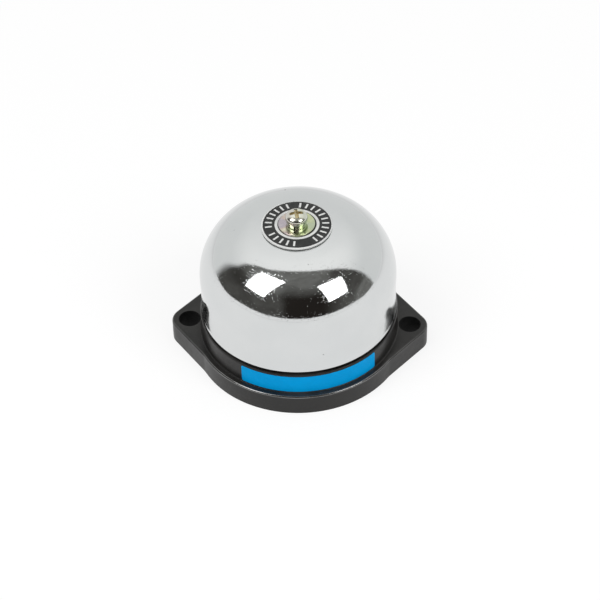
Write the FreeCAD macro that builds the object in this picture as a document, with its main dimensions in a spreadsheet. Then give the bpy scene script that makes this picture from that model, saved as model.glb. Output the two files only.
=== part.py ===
# Small round mains bell: a chromed gong on a centre pillar, struck from inside by a push-type
# solenoid, all carried by an eared, open-backed moulded base.
# Millimetres. +Z up, origin at the centre of the base's underside, ears along X, front towards -Y.

import FreeCAD, Part
import math
import os
import re
import Sketcher

Vector = FreeCAD.Vector
UP = Vector(0, 0, 1)

# Driving sizes: name, value in mm (angles in degrees), what it measures.
SIZES = [
    ("collar_margin", 0.4, "collar outside the gong's skirt"),
    ("flange_ledge", 1.9, "round flange outside the collar"),
    ("ear_reach", 1.5, "centre of a fixing hole outside the round flange"),
    ("ear_radius", 5.0, "rounded end of an ear, and its boss"),
    ("ear_hole_radius", 3.05, "fixing hole"),
    ("waist_dip", 0.35, "how far an ear's flank passes inside the round flange"),
    ("waist_blend", 12.0, "hollow blend between flank and round flange"),
    ("pocket_span", 11.0, "the hollow under an ear, from its hole inwards"),
    ("flange_height", 6.3, "flange thickness"),
    ("flange_skin", 2.0, "top skin over the hollow flange"),
    ("side_wall", 2.0, "outer walls of the moulding"),
    ("collar_top", 12.8, "top of the collar and deck above the mounting surface"),
    ("collar_fillet", 0.4, "blend at the foot of the collar"),
    ("edge_round", 0.5, "rounding of the flange's top edge"),
    ("collar_chamfer", 0.3, "broken top edge of the collar"),
    ("deck_thickness", 2.0, "deck that carries the mechanism"),
    ("rib_thickness", 1.2, "stiffening ribs under the deck"),
    ("rib_depth", 3.2, "how far the ribs hang below the deck"),
    ("rib_clearance", 0.5, "between a rib and the pillar's washer"),
    ("boss_radius", 5.5, "centre boss under the deck"),
    ("boss_depth", 2.0, "how far the centre boss hangs below the deck"),
    ("notch_width", 6.0, "cable notch in the rear wall"),
    ("notch_height", 4.0, "top of the cable notch"),
    ("post_width", 8.0, "terminal post, along X"),
    ("post_length", 7.0, "terminal post, along Y"),
    ("post_depth", 5.2, "how far the terminal posts hang below the deck"),
    ("post_room", 3.2, "between a terminal post's corner and the wall"),
    ("post_bore_depth", 6.0, "pilot hole in a terminal post"),
    ("cradle_width", 3.0, "saddle over the diode"),
    ("cradle_length", 4.2, "saddle over the diode"),
    ("lead_inset", 0.7, "middle of a coil lead inside the winding's end"),
    ("lead_clear", 1.3, "middle of a coil lead in front of the yoke"),
    ("lead_radius", 0.6, "insulated coil lead"),
    ("lead_hole_radius", 0.9, "hole for a lead in the deck"),
    ("seat_gap", 0.05, "play between pieces that rest on each other"),
    ("cut_past", 1.0, "how far a cut runs past the face that it opens"),
    ("bolt_gap", 0.15, "radial play of a screw or spigot in its hole"),
    ("gong_radius", 27.5, "outside of the gong's skirt"),
    ("gong_height", 29.11, "gong from rim to crown"),
    ("gong_wall", 1.0, "gong's sheet"),
    ("rim_gap", 1.02, "air between the collar and the gong's rim"),
    ("rim_chamfer", 0.25, "softened rim"),
    ("shoulder_radius", 16.6, "outer curve from skirt to crown"),
    ("crown_radius", 120.0, "outer curve of the nearly flat crown"),
    ("crown_hole_radius", 2.0, "hole in the crown"),
    ("disc_radius", 9.9, "name disc"),
    ("disc_thickness", 0.4, "name disc"),
    ("washer_radius", 5.05, "flat washer on the name disc"),
    ("washer_thickness", 0.5, "flat washer on the name disc"),
    ("lock_radius", 2.75, "lock washer under the crown screw"),
    ("lock_thickness", 1.35, "lock washer under the crown screw"),
    ("lock_split", 0.35, "split in a lock washer"),
    ("collar_washer_radius", 3.05, "narrow washer under the screw head"),
    ("collar_washer_thickness", 0.6, "narrow washer under the screw head"),
    ("screw_radius", 1.5, "shank of the M3 screws"),
    ("crown_head_radius", 3.0, "pan head of the crown screw"),
    ("crown_head_height", 1.9, "pan head of the crown screw"),
    ("crown_head_edge", 0.8, "upright edge of the pan head"),
    ("crown_grip", 10.0, "crown screw's thread inside the pillar"),
    ("cushion_radius", 5.0, "rubber washer under the crown"),
    ("cushion_thickness", 1.2, "rubber washer under the crown"),
    ("pillar_radius", 3.25, "centre pillar"),
    ("pillar_foot_radius", 4.5, "foot of the pillar on the deck"),
    ("pillar_foot_height", 2.0, "foot of the pillar on the deck"),
    ("spigot_radius", 2.0, "pillar's M4 thread through the deck"),
    ("spigot_end", 0.6, "thread standing out of the nut"),
    ("pillar_washer_radius", 4.5, "washer under the deck"),
    ("pillar_washer_thickness", 0.8, "washer under the deck"),
    ("nut_flats", 7.0, "pillar nut across its flats"),
    ("nut_height", 3.2, "pillar nut"),
    ("label_rise", 0.45, "label's lower edge above the flange"),
    ("label_height", 5.5, "label on the collar"),
    ("label_thickness", 0.12, "label on the collar, its glue included"),
    ("label_glue", 0.012, "glue under the label"),
    ("label_left", 15.34, "label's left end from the front, along the collar"),
    ("label_right", 25.52, "label's right end from the front, along the collar"),
    ("pillar_clear", 1.25, "between the pillar and the bobbin"),
    ("coil_rise", 11.2, "solenoid's axis above the deck"),
    ("yoke_thickness", 1.5, "yoke's strip"),
    ("yoke_width", 14.0, "yoke's strip"),
    ("yoke_above", 7.5, "cheeks above the solenoid's axis"),
    ("yoke_bend", 1.2, "outside of the yoke's bends"),
    ("cheek_corner", 3.5, "rounded upper corners of the cheeks"),
    ("yoke_screw_inset", 3.2, "yoke screws inside the cheeks"),
    ("yoke_screw_tip", 0.5, "yoke screws standing through the yoke's foot"),
    ("small_head_radius", 2.75, "heads of the yoke and terminal screws"),
    ("small_head_height", 1.9, "heads of the yoke and terminal screws"),
    ("small_lock_thickness", 0.6, "lock washers under the yoke screws"),
    ("bobbin_radius", 8.0, "bobbin's end flanges"),
    ("bobbin_flange", 1.0, "bobbin's end flanges"),
    ("bobbin_wall", 0.8, "bobbin's tube"),
    ("winding_radius", 7.2, "copper winding"),
    ("tape_thickness", 0.2, "tape round the winding"),
    ("tube_radius", 3.05, "brass guide tube"),
    ("tube_wall", 0.3, "brass guide tube"),
    ("tube_flange_radius", 4.3, "guide tube's flange on the left cheek"),
    ("tube_flange", 0.4, "guide tube's flange on the left cheek"),
    ("running_gap", 0.1, "radial play of the plunger in its tube"),
    ("pole_depth", 9.0, "fixed pole inside the guide tube"),
    ("pole_flange_radius", 4.3, "fixed pole's flange on the right cheek"),
    ("pole_flange", 0.8, "fixed pole's flange on the right cheek"),
    ("pole_gap", 0.4, "iron gap left at the end of the stroke"),
    ("stroke_length", 1.9, "travel of the plunger and hammer"),
    ("strike_gap", 0.08, "hammer to gong at the end of the stroke"),
    ("rod_radius", 0.8, "push rod"),
    ("rod_gap", 0.2, "radial room for the push rod in pole and bumper"),
    ("rod_grip", 3.4, "push rod pressed into the plunger and the hammer"),
    ("bumper_radius", 3.2, "rubber bumper behind the hammer"),
    ("bumper_thickness", 0.8, "rubber bumper behind the hammer"),
    ("hammer_radius", 3.0, "hammer and its round nose"),
    ("spring_length", 4.6, "return spring at rest"),
    ("spring_wire", 0.5, "return spring's wire"),
    ("spring_mean_radius", 3.3, "return spring, to the middle of its wire"),
    ("spring_turns", 4, "return spring's turns"),
    ("clip_radius", 4.2, "retaining clip on the plunger"),
    ("clip_thickness", 0.6, "retaining clip on the plunger"),
    ("clip_mouth", 3.4, "open side of the retaining clip"),
    ("clip_room", 2.98, "between the retaining clip and the gong's wall"),
    ("groove_depth", 0.5, "groove for the retaining clip"),
    ("plunger_tail", 1.0, "plunger beyond the retaining clip"),
    ("strip_width", 7.0, "terminal plate, along X"),
    ("strip_length", 6.0, "terminal plate, along Y"),
    ("strip_thickness", 0.8, "terminal plate"),
    ("tab_width", 3.0, "solder tab of a terminal plate"),
    ("tab_length", 4.0, "solder tab of a terminal plate"),
    ("tab_lap", 2.0, "wire soldered along a tab"),
    ("clamp_radius", 2.9, "clamp washer for the supply wire"),
    ("clamp_thickness", 0.7, "clamp washer for the supply wire"),
    ("terminal_reach", 5.0, "terminal screw inside its post"),
    ("diode_radius", 1.35, "diode's body"),
    ("diode_length", 5.2, "diode's body"),
    ("diode_gap", 1.2, "between a solder tab and the diode"),
    ("diode_wire_radius", 0.35, "diode's own leads"),
    ("diode_tail", 2.0, "diode's lead towards the coil"),
    ("sleeve_wall", 0.25, "sleeve over the soldered joint"),
    ("sleeve_length", 3.0, "sleeve over the soldered joint"),
]

doc = FreeCAD.newDocument("RoundBell")
sheet = doc.addObject("Spreadsheet::Sheet", "Dim")
for row, (alias, number, note) in enumerate(SIZES, 1):
    sheet.set("A%d" % row, note)
    sheet.set("B%d" % row, str(number))
    sheet.setAlias("B%d" % row, alias)
doc.recompute()

# Share of the shorter run that a wire's bend takes up on each side of its corner.
BEND_SHARE = 0.45

# Sizes and places worked out from the driving sizes, as expressions over the sheet.
COLLAR_RADIUS = "(gong_radius + collar_margin)"
BODY_RADIUS = f"({COLLAR_RADIUS} + flange_ledge)"
EAR_OFFSET = f"({BODY_RADIUS} + ear_reach)"
DECK_UNDER = "(collar_top - deck_thickness)"
CAVITY_RADIUS = f"({COLLAR_RADIUS} - side_wall)"
POST_BOTTOM = f"({DECK_UNDER} - post_depth)"

RIM = "(collar_top + rim_gap)"
APEX = f"({RIM} + gong_height)"
CROWN_CENTRE = f"({APEX} - crown_radius)"
SHOULDER_X = "(gong_radius - shoulder_radius)"
SHOULDER_REACH = "(crown_radius - shoulder_radius)"
SHOULDER_Z = f"({CROWN_CENTRE} + sqrt({SHOULDER_REACH}^2 - {SHOULDER_X}^2))"

DISC_BOTTOM = f"({CROWN_CENTRE} + sqrt(crown_radius^2 - crown_hole_radius^2))"
DISC_TOP = f"({DISC_BOTTOM} + disc_thickness)"
WASHER_TOP = f"({DISC_TOP} + washer_thickness)"
LOCK_TOP = f"({WASHER_TOP} + lock_thickness)"
HEAD_BOTTOM = f"({LOCK_TOP} + collar_washer_thickness)"
CUSHION_TOP = f"({CROWN_CENTRE} + sqrt((crown_radius - gong_wall)^2 - cushion_radius^2))"
PILLAR_TOP = f"({CUSHION_TOP} - cushion_thickness)"
BOLT_HOLE = "(screw_radius + bolt_gap)"

BOSS_BOTTOM = f"({DECK_UNDER} - boss_depth)"
NUT_TOP = f"({BOSS_BOTTOM} - pillar_washer_thickness)"
NUT_BOTTOM = f"({NUT_TOP} - nut_height)"

# The coil stands close behind the pillar. The yoke is as wide as the plunger's clip leaves room for.
COIL_Y = "(pillar_radius + pillar_clear + bobbin_radius)"
COIL_Z = "(collar_top + coil_rise)"
CLIP_LIMIT = f"sqrt((gong_radius - gong_wall)^2 - ({COIL_Y} + clip_radius)^2)"
CHEEK = f"({CLIP_LIMIT} - clip_room - clip_thickness - spring_length - tube_flange)"
YOKE_INSIDE = f"({CHEEK} - yoke_thickness)"
YOKE_SCREW_X = f"({YOKE_INSIDE} - yoke_screw_inset)"
BOBBIN_END = f"({YOKE_INSIDE} - seat_gap)"
BOBBIN_INNER = f"({BOBBIN_END} - bobbin_flange)"
WOUND = f"({BOBBIN_INNER} - seat_gap)"
LEAD_X = f"({WOUND} - lead_inset)"
LEAD_Y = f"({COIL_Y} - yoke_width / 2 - lead_clear)"
BOBBIN_BORE = "(tube_radius + seat_gap)"
BOBBIN_TUBE = f"({BOBBIN_BORE} + bobbin_wall)"
TAPE_RADIUS = "(winding_radius + tape_thickness)"
TUBE_BORE = "(tube_radius - tube_wall)"
PLUNGER_RADIUS = f"({TUBE_BORE} - running_gap)"
POLE_FACE = f"({CHEEK} - pole_depth)"
PLUNGER_FACE = f"({POLE_FACE} - pole_gap - stroke_length)"
SPRING_SEAT = f"(0 - {CHEEK} - tube_flange)"
CLIP_FACE = f"({SPRING_SEAT} - spring_length)"
CLIP_BACK = f"({CLIP_FACE} - clip_thickness)"
PLUNGER_END = f"({CLIP_BACK} - plunger_tail)"
BUMPER_SEAT = f"({CHEEK} + pole_flange)"
HAMMER_BACK = f"({BUMPER_SEAT} + bumper_thickness + seat_gap)"
STRIKE_RADIUS = "(gong_radius - gong_wall - hammer_radius - strike_gap)"
HAMMER_CENTRE = f"(sqrt({STRIKE_RADIUS}^2 - {COIL_Y}^2) - stroke_length)"

# Terminals stand on the leads' own lines, close to the front wall.
POST_CORNER = f"sqrt({CAVITY_RADIUS}^2 - ({LEAD_X} + post_width / 2)^2)"
POST_SETBACK = f"({POST_CORNER} - post_length / 2 - post_room)"
STRIP_BOTTOM = f"({POST_BOTTOM} - strip_thickness)"
CLAMP_BOTTOM = f"({STRIP_BOTTOM} - clamp_thickness)"
STRIP_BACK = f"(strip_length / 2 - {POST_SETBACK})"
TAB_END = f"({STRIP_BACK} + tab_length)"
DIODE_Z = f"({POST_BOTTOM} + diode_wire_radius)"
DIODE_FRONT = f"({TAB_END} + diode_gap)"
DIODE_BACK = f"({DIODE_FRONT} + diode_length)"
DIODE_TIP = f"({DIODE_BACK} + diode_tail)"


def linked(expression):
    """The expression with each size name pointed at its cell in the sheet."""
    return re.sub(r"\b[a-z]+(?:_[a-z]+)+\b", lambda name: "Dim." + name.group(), expression)


def value(expression):
    """The number that an expression gives."""
    return float(sheet.evalExpression(linked(expression)))


def bind(owner, prop, expression):
    """Tie a property of an object to the sheet."""
    owner.setExpression(prop, linked(expression))


def pin(sketch, geometry, position, across, up):
    """Hold a point of a sketch at a place given by two expressions."""
    for kind, expression in (("DistanceX", across), ("DistanceY", up)):
        constraint = Sketcher.Constraint(kind, -1, 1, geometry, position, value(expression))
        number = sketch.addConstraint(constraint)
        bind(sketch, "Constraints[%d]" % number, expression)


def sketch_on(body, plane, offset="0"):
    """A sketch on one of the body's own origin planes, moved along the plane's normal."""
    sketch = body.newObject("Sketcher::SketchObject", "Sketch")
    planes = [item for item in body.Origin.OriginFeatures if item.Role == plane + "_Plane"]
    sketch.AttachmentSupport = [(planes[0], "")]
    sketch.MapMode = "FlatFace"
    bind(sketch, "AttachmentOffset.Base.z", offset)
    return sketch


def add_circle(sketch, across, up, radius):
    """A full circle, its centre and radius bound to the sheet."""
    centre = Vector(value(across), value(up), 0)
    circle = sketch.addGeometry(Part.Circle(centre, UP, value(radius)))
    pin(sketch, circle, 3, across, up)
    number = sketch.addConstraint(Sketcher.Constraint("Radius", circle, value(radius)))
    bind(sketch, "Constraints[%d]" % number, radius)


def add_outline(sketch, corners, arcs=None):
    """A closed outline through corners, each a pair of expressions.

    arcs maps a corner's number to the arc that leaves it: (centre across, centre up, turn),
    where turn is 1 anticlockwise and -1 clockwise. The other corners are joined by lines."""
    arcs = arcs or {}
    points = [Vector(value(across), value(up), 0) for across, up in corners]
    first = sketch.GeometryCount
    ends = []
    for i, start in enumerate(points):
        end = points[(i + 1) % len(points)]
        if i not in arcs:
            sketch.addGeometry(Part.LineSegment(start, end))
            ends.append((1, 2))
            continue
        centre = Vector(value(arcs[i][0]), value(arcs[i][1]), 0)
        anticlockwise = arcs[i][2] > 0
        a, b = (start - centre, end - centre) if anticlockwise else (end - centre, start - centre)
        begin = math.atan2(a.y, a.x)
        finish = math.atan2(b.y, b.x)
        finish += 2 * math.pi if finish <= begin else 0
        circle = Part.Circle(centre, UP, (start - centre).Length)
        sketch.addGeometry(Part.ArcOfCircle(circle, begin, finish))
        ends.append((1, 2) if anticlockwise else (2, 1))
    for i, (start_vertex, end_vertex) in enumerate(ends):
        following = (i + 1) % len(ends)
        sketch.addConstraint(Sketcher.Constraint(
            "Coincident", first + i, end_vertex, first + following, ends[following][0]))
        pin(sketch, first + i, start_vertex, *corners[i])
    for i, (across, up, _) in arcs.items():
        chord = points[(i + 1) % len(points)] - points[i]
        kind, place = ("DistanceY", up) if abs(chord.x) > abs(chord.y) else ("DistanceX", across)
        number = sketch.addConstraint(Sketcher.Constraint(kind, -1, 1, first + i, 3, value(place)))
        bind(sketch, "Constraints[%d]" % number, place)


def add_rectangle(sketch, across, up, width, length):
    """A rectangle about its centre."""
    left, right = f"({across} - {width} / 2)", f"({across} + {width} / 2)"
    low, high = f"({up} - {length} / 2)", f"({up} + {length} / 2)"
    add_outline(sketch, [(left, low), (right, low), (right, high), (left, high)])


def new_body(label):
    body = doc.addObject("PartDesign::Body", label)
    body.Label = label
    parts.append(body)
    return body


def add_feature(body, kind, sketch, length, symmetric=False):
    """A Pad or Pocket of a sketch, as long as the expression says."""
    feature = body.newObject("PartDesign::" + kind, kind)
    feature.Profile = sketch
    bind(feature, "Length", length)
    if symmetric:
        feature.SideType = "Symmetric"
    sketch.Visibility = False
    return feature


def revolve(body, sketch, kind="Revolution"):
    """A full turn of a sketch about its own vertical axis."""
    feature = body.newObject("PartDesign::" + kind, kind)
    feature.Profile = sketch
    feature.ReferenceAxis = (sketch, ["V_Axis"])
    feature.Angle = 360
    return feature


def mirror_left(body, feature):
    """The same feature again on the other side of the YZ plane."""
    doc.recompute()
    mirrored = body.newObject("PartDesign::Mirrored", "Mirrored")
    mirrored.Originals = [feature]
    planes = [item for item in body.Origin.OriginFeatures if item.Role == "YZ_Plane"]
    mirrored.MirrorPlane = (planes[0], [""])
    body.Tip = mirrored
    return mirrored


def turned(label, corners, arcs=None):
    """A piece turned about its own Z axis from half its section, radius across and height up."""
    body = new_body(label)
    sketch = sketch_on(body, "XZ")
    add_outline(sketch, corners, arcs)
    revolve(body, sketch)
    return body


def ring(label, inner, outer, low, high):
    """A plain ring or washer about its own Z axis."""
    return turned(label, [(inner, low), (outer, low), (outer, high), (inner, high)])


def lay_on_coil_axis(body):
    """Turn a piece's own +Z to +X and put it on the solenoid's axis."""
    body.Placement.Rotation = FreeCAD.Rotation(Vector(0, 1, 0), 90)
    bind(body, "Placement.Base.y", COIL_Y)
    bind(body, "Placement.Base.z", COIL_Z)


def dress_edges(body, kind, size, wanted):
    """A Fillet or Chamfer on the edges of the body's last feature that wanted() picks."""
    doc.recompute()
    base = body.Tip
    names = ["Edge%d" % n for n, edge in enumerate(base.Shape.Edges, 1) if wanted(edge)]
    dressed = body.newObject("PartDesign::" + kind, kind)
    dressed.Base = (base, names)
    bind(dressed, "Radius" if kind == "Fillet" else "Size", size)
    doc.recompute()


def at_height(edge, level):
    return all(abs(vertex.Z - level) < 1e-6 for vertex in edge.Vertexes)


def is_upright(edge):
    first, last = edge.Vertexes[0].Point, edge.Vertexes[-1].Point
    return (last - first).Length > 1e-6 and Vector(last.x - first.x, last.y - first.y).Length < 1e-6


def lead(label, route, radius):
    """A round wire along straight runs joined by tangent arcs, each as large as its runs allow."""
    points = [Vector(*[value(place) for place in point]) for point in route]
    edges = []
    reached = points[0]
    for before, corner, after in zip(points, points[1:], points[2:]):
        arriving, leaving = (corner - before).normalize(), (after - corner).normalize()
        half_turn = arriving.getAngle(leaving) / 2
        shorter = min((corner - before).Length, (after - corner).Length)
        cut_back = BEND_SHARE * shorter
        start, end = corner - arriving * cut_back, corner + leaving * cut_back
        bend = cut_back / math.tan(half_turn)
        inward = (leaving - arriving).normalize()
        middle = corner + inward * (bend / math.cos(half_turn) - bend)
        edges += [Part.LineSegment(reached, start).toShape(), Part.Arc(start, middle, end).toShape()]
        reached = end
        print("%s bend radius %.2f mm" % (label, bend))
    edges.append(Part.LineSegment(reached, points[-1]).toShape())
    path = Part.Wire(edges)
    first_run = points[1] - points[0]
    section = Part.Wire(Part.Circle(points[0], first_run, value(radius)).toShape())
    wire = doc.addObject("Part::Feature", label)
    wire.Shape = path.makePipeShell([section], True, False)
    expected = math.pi * value(radius) ** 2 * path.Length
    if abs(wire.Shape.Volume / expected - 1) > 0.01:
        raise RuntimeError(label + " lost part of its sweep")
    wire.Label = label
    wire.Placement = FreeCAD.Placement()
    parts.append(wire)
    return wire


def build_base():
    """Eared flange, collar and deck in one open-backed moulding, with its ribs, boss, terminal
    posts, diode cradle and cable notch."""
    body = new_body("base_moulding")
    disc = sketch_on(body, "XY")
    add_circle(disc, "0", "0", BODY_RADIUS)
    add_feature(body, "Pad", disc, "flange_height")

    # An ear's flank is tangent to its round end and passes waist_dip inside the round flange.
    # (FLANK_COS, FLANK_SIN) is the flank's outward normal.
    dipped = f"({BODY_RADIUS} - waist_dip)"
    flank_cos = f"(({dipped} - ear_radius) / {EAR_OFFSET})"
    flank_sin = f"sqrt(1 - {flank_cos}^2)"
    tangent = (f"({EAR_OFFSET} + ear_radius * {flank_cos})", f"(ear_radius * {flank_sin})")
    crossing = f"(sqrt({BODY_RADIUS}^2 - {dipped}^2))"
    joint = (f"({dipped} * {flank_cos} + {crossing} * {flank_sin})",
             f"({dipped} * {flank_sin} - {crossing} * {flank_cos})")
    ear = sketch_on(body, "XY")
    add_outline(ear, [("0", f"(0 - {joint[1]})"), (joint[0], f"(0 - {joint[1]})"),
                      (tangent[0], f"(0 - {tangent[1]})"), tangent, joint, ("0", joint[1])],
                {2: (EAR_OFFSET, "0", 1)})
    mirror_left(body, add_feature(body, "Pad", ear, "flange_height"))

    flange_radius = value(BODY_RADIUS)
    dress_edges(body, "Fillet", "waist_blend", lambda edge: is_upright(edge) and abs(
        math.hypot(edge.Vertexes[0].X, edge.Vertexes[0].Y) - flange_radius) < 1e-3)
    flange_top = value("flange_height")
    dress_edges(body, "Fillet", "edge_round", lambda edge: at_height(edge, flange_top))

    collar = sketch_on(body, "XY", "flange_height")
    add_circle(collar, "0", "0", COLLAR_RADIUS)
    add_feature(body, "Pad", collar, "(collar_top - flange_height)")
    collar_radius = value(COLLAR_RADIUS)
    collar_top = value("collar_top")
    for kind, size, level in (("Fillet", "collar_fillet", flange_top),
                              ("Chamfer", "collar_chamfer", collar_top)):
        dress_edges(body, kind, size, lambda edge: (
            at_height(edge, level) and isinstance(edge.Curve, Part.Circle)
            and abs(edge.Curve.Radius - collar_radius) < 1e-6))

    # Hollows of the open back: the round cavity, the wider flange hollow and the ears' pockets.
    cavity = sketch_on(body, "XY", DECK_UNDER)
    add_circle(cavity, "0", "0", CAVITY_RADIUS)
    add_feature(body, "Pocket", cavity, DECK_UNDER)
    hollow = sketch_on(body, "XY", "(flange_height - flange_skin)")
    add_circle(hollow, "0", "0", f"({BODY_RADIUS} - side_wall)")
    add_feature(body, "Pocket", hollow, "(flange_height - flange_skin)")
    inner_reach = f"({dipped} - side_wall)"
    pocket_root = f"({EAR_OFFSET} - pocket_span)"
    slope_end = f"(({inner_reach} - {EAR_OFFSET} * {flank_cos}) / {flank_sin})"
    slope_root = f"(({inner_reach} - {pocket_root} * {flank_cos}) / {flank_sin})"
    pocket = sketch_on(body, "XY", "(flange_height - flange_skin)")
    add_outline(pocket, [(pocket_root, f"(0 - {slope_root})"), (EAR_OFFSET, f"(0 - {slope_end})"),
                         (EAR_OFFSET, slope_end), (pocket_root, slope_root)])
    mirror_left(body, add_feature(body, "Pocket", pocket, "(flange_height - flange_skin)"))
    boss = sketch_on(body, "XY")
    add_circle(boss, EAR_OFFSET, "0", "ear_radius")
    mirror_left(body, add_feature(body, "Pad", boss, "(flange_height - edge_round)"))

    # What hangs below the deck.
    centre = sketch_on(body, "XY", BOSS_BOTTOM)
    add_circle(centre, "0", "0", "boss_radius")
    add_feature(body, "Pad", centre, "(boss_depth + deck_thickness / 2)")
    rib = sketch_on(body, "XY", f"({DECK_UNDER} - rib_depth)")
    rib_inner = "(pillar_washer_radius + rib_clearance)"
    rib_outer = f"({COLLAR_RADIUS} - side_wall / 2)"
    add_rectangle(rib, f"(({rib_inner} + {rib_outer}) / 2)", "0",
                  f"({rib_outer} - {rib_inner})", "rib_thickness")
    ribs = add_feature(body, "Pad", rib, "(rib_depth + deck_thickness / 2)")
    doc.recompute()
    pattern = body.newObject("PartDesign::PolarPattern", "RibPattern")
    pattern.Originals = [ribs]
    pattern.Axis = (rib, ["N_Axis"])
    pattern.Angle = 360
    pattern.Occurrences = 4
    body.Tip = pattern
    post = sketch_on(body, "XY", POST_BOTTOM)
    add_rectangle(post, LEAD_X, f"(0 - {POST_SETBACK})", "post_width", "post_length")
    mirror_left(body, add_feature(body, "Pad", post, "(post_depth + deck_thickness / 2)"))
    cradle_bottom = f"({DIODE_Z} + diode_radius + seat_gap)"
    cradle = sketch_on(body, "XY", cradle_bottom)
    add_rectangle(cradle, LEAD_X, f"(({DIODE_FRONT} + {DIODE_BACK}) / 2)",
                  "cradle_width", "cradle_length")
    add_feature(body, "Pad", cradle, f"({DECK_UNDER} - {cradle_bottom} + deck_thickness / 2)")

    # Holes: fixings, pillar, yoke screws, leads, terminal screws and the cable notch.
    through = sketch_on(body, "XY", "(flange_height + cut_past)")
    add_circle(through, EAR_OFFSET, "0", "ear_hole_radius")
    add_circle(through, f"(0 - {EAR_OFFSET})", "0", "ear_hole_radius")
    add_feature(body, "Pocket", through, "(flange_height + 2 * cut_past)")
    deck_holes = sketch_on(body, "XY", "(collar_top + cut_past)")
    add_circle(deck_holes, "0", "0", "(spigot_radius + bolt_gap)")
    for side in ("", "0 - "):
        add_circle(deck_holes, f"({side}{YOKE_SCREW_X})", COIL_Y, BOLT_HOLE)
        add_circle(deck_holes, f"({side}{LEAD_X})", LEAD_Y, "lead_hole_radius")
    add_feature(body, "Pocket", deck_holes, f"(collar_top - {BOSS_BOTTOM} + 2 * cut_past)")
    pilot = sketch_on(body, "XY", f"({POST_BOTTOM} + post_bore_depth)")
    for side in ("", "0 - "):
        add_circle(pilot, f"({side}{LEAD_X})", f"(0 - {POST_SETBACK})", "(screw_radius + seat_gap)")
    add_feature(body, "Pocket", pilot, "(post_bore_depth + cut_past)")
    notch = sketch_on(body, "XZ", f"(side_wall + cut_past - {BODY_RADIUS})")
    half, crown = "(notch_width / 2)", "(notch_height - notch_width / 2)"
    add_outline(notch, [(f"(0 - {half})", "(0 - cut_past)"), (half, "(0 - cut_past)"), (half, crown),
                        (f"(0 - {half})", crown)], {2: ("0", crown, 1)})
    add_feature(body, "Pocket", notch, "(side_wall + 2 * cut_past)")


def build_label():
    """Thin label bent round the collar."""
    body = new_body("side_label")
    inner = f"({COLLAR_RADIUS} + label_glue)"
    outer = f"({COLLAR_RADIUS} + label_thickness)"
    left, right = [f"({length} / {COLLAR_RADIUS} * 180 / pi)" for length in ("label_left", "label_right")]
    corners = [(f"({sign}{radius} * sin({angle}))", f"(0 - {radius} * cos({angle}))")
               for radius, sign, angle in ((outer, "0 - ", left), (outer, "", right),
                                           (inner, "", right), (inner, "0 - ", left))]
    sketch = sketch_on(body, "XY", "(flange_height + label_rise)")
    add_outline(sketch, corners, {0: ("0", "0", 1), 2: ("0", "0", -1)})
    add_feature(body, "Pad", sketch, "label_height")


def build_gong():
    """Chromed bell cup: straight skirt, shoulder curve and nearly flat crown, of one thickness."""
    toward_x = f"({SHOULDER_X} / {SHOULDER_REACH})"
    toward_z = f"(sqrt({SHOULDER_REACH}^2 - {SHOULDER_X}^2) / {SHOULDER_REACH})"
    corners = [("gong_radius", RIM), ("gong_radius", SHOULDER_Z)]
    for radius, hole_first in (("crown_radius", False), ("(crown_radius - gong_wall)", True)):
        meeting = (f"({radius} * {toward_x})", f"({CROWN_CENTRE} + {radius} * {toward_z})")
        at_hole = ("crown_hole_radius", f"({CROWN_CENTRE} + sqrt({radius}^2 - crown_hole_radius^2))")
        corners += [at_hole, meeting] if hole_first else [meeting, at_hole]
    corners += [("(gong_radius - gong_wall)", SHOULDER_Z), ("(gong_radius - gong_wall)", RIM)]
    shoulder = (SHOULDER_X, SHOULDER_Z)
    crown = ("0", CROWN_CENTRE)
    arcs = {1: shoulder + (1,), 2: crown + (1,), 4: crown + (-1,), 5: shoulder + (-1,)}
    body = turned("gong", corners, arcs)
    dress_edges(body, "Chamfer", "rim_chamfer", lambda edge: at_height(edge, value(RIM)))


def build_crown():
    """What clamps the gong: cushion, name disc, washers and screw."""
    ring("name_disc", "crown_hole_radius", "disc_radius", DISC_BOTTOM, DISC_TOP)
    ring("crown_flat_washer", BOLT_HOLE, "washer_radius", DISC_TOP, WASHER_TOP)
    lock = ring("crown_lock_washer", BOLT_HOLE, "lock_radius", WASHER_TOP, LOCK_TOP)
    split = sketch_on(lock, "XY", f"({LOCK_TOP} + cut_past)")
    add_rectangle(split, "0", "(0 - lock_radius / 2 - cut_past)", "lock_split",
                  "(lock_radius + 2 * cut_past)")
    add_feature(lock, "Pocket", split, "(lock_thickness + 2 * cut_past)")
    ring("crown_narrow_washer", BOLT_HOLE, "collar_washer_radius", LOCK_TOP, HEAD_BOTTOM)
    shank_end = f"({PILLAR_TOP} - crown_grip)"
    edge_top = f"({HEAD_BOTTOM} + crown_head_edge)"
    head_top = f"({HEAD_BOTTOM} + crown_head_height)"
    dome = "(crown_head_height - crown_head_edge)"
    dome_centre = f"({head_top} - (crown_head_radius^2 + {dome}^2) / (2 * {dome}))"
    turned("crown_screw", [("0", shank_end), ("screw_radius", shank_end),
                           ("screw_radius", HEAD_BOTTOM), ("crown_head_radius", HEAD_BOTTOM),
                           ("crown_head_radius", edge_top), ("0", head_top)],
           {4: ("0", dome_centre, 1)})
    ring("cushion_washer", BOLT_HOLE, "cushion_radius", PILLAR_TOP, CUSHION_TOP)


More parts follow.
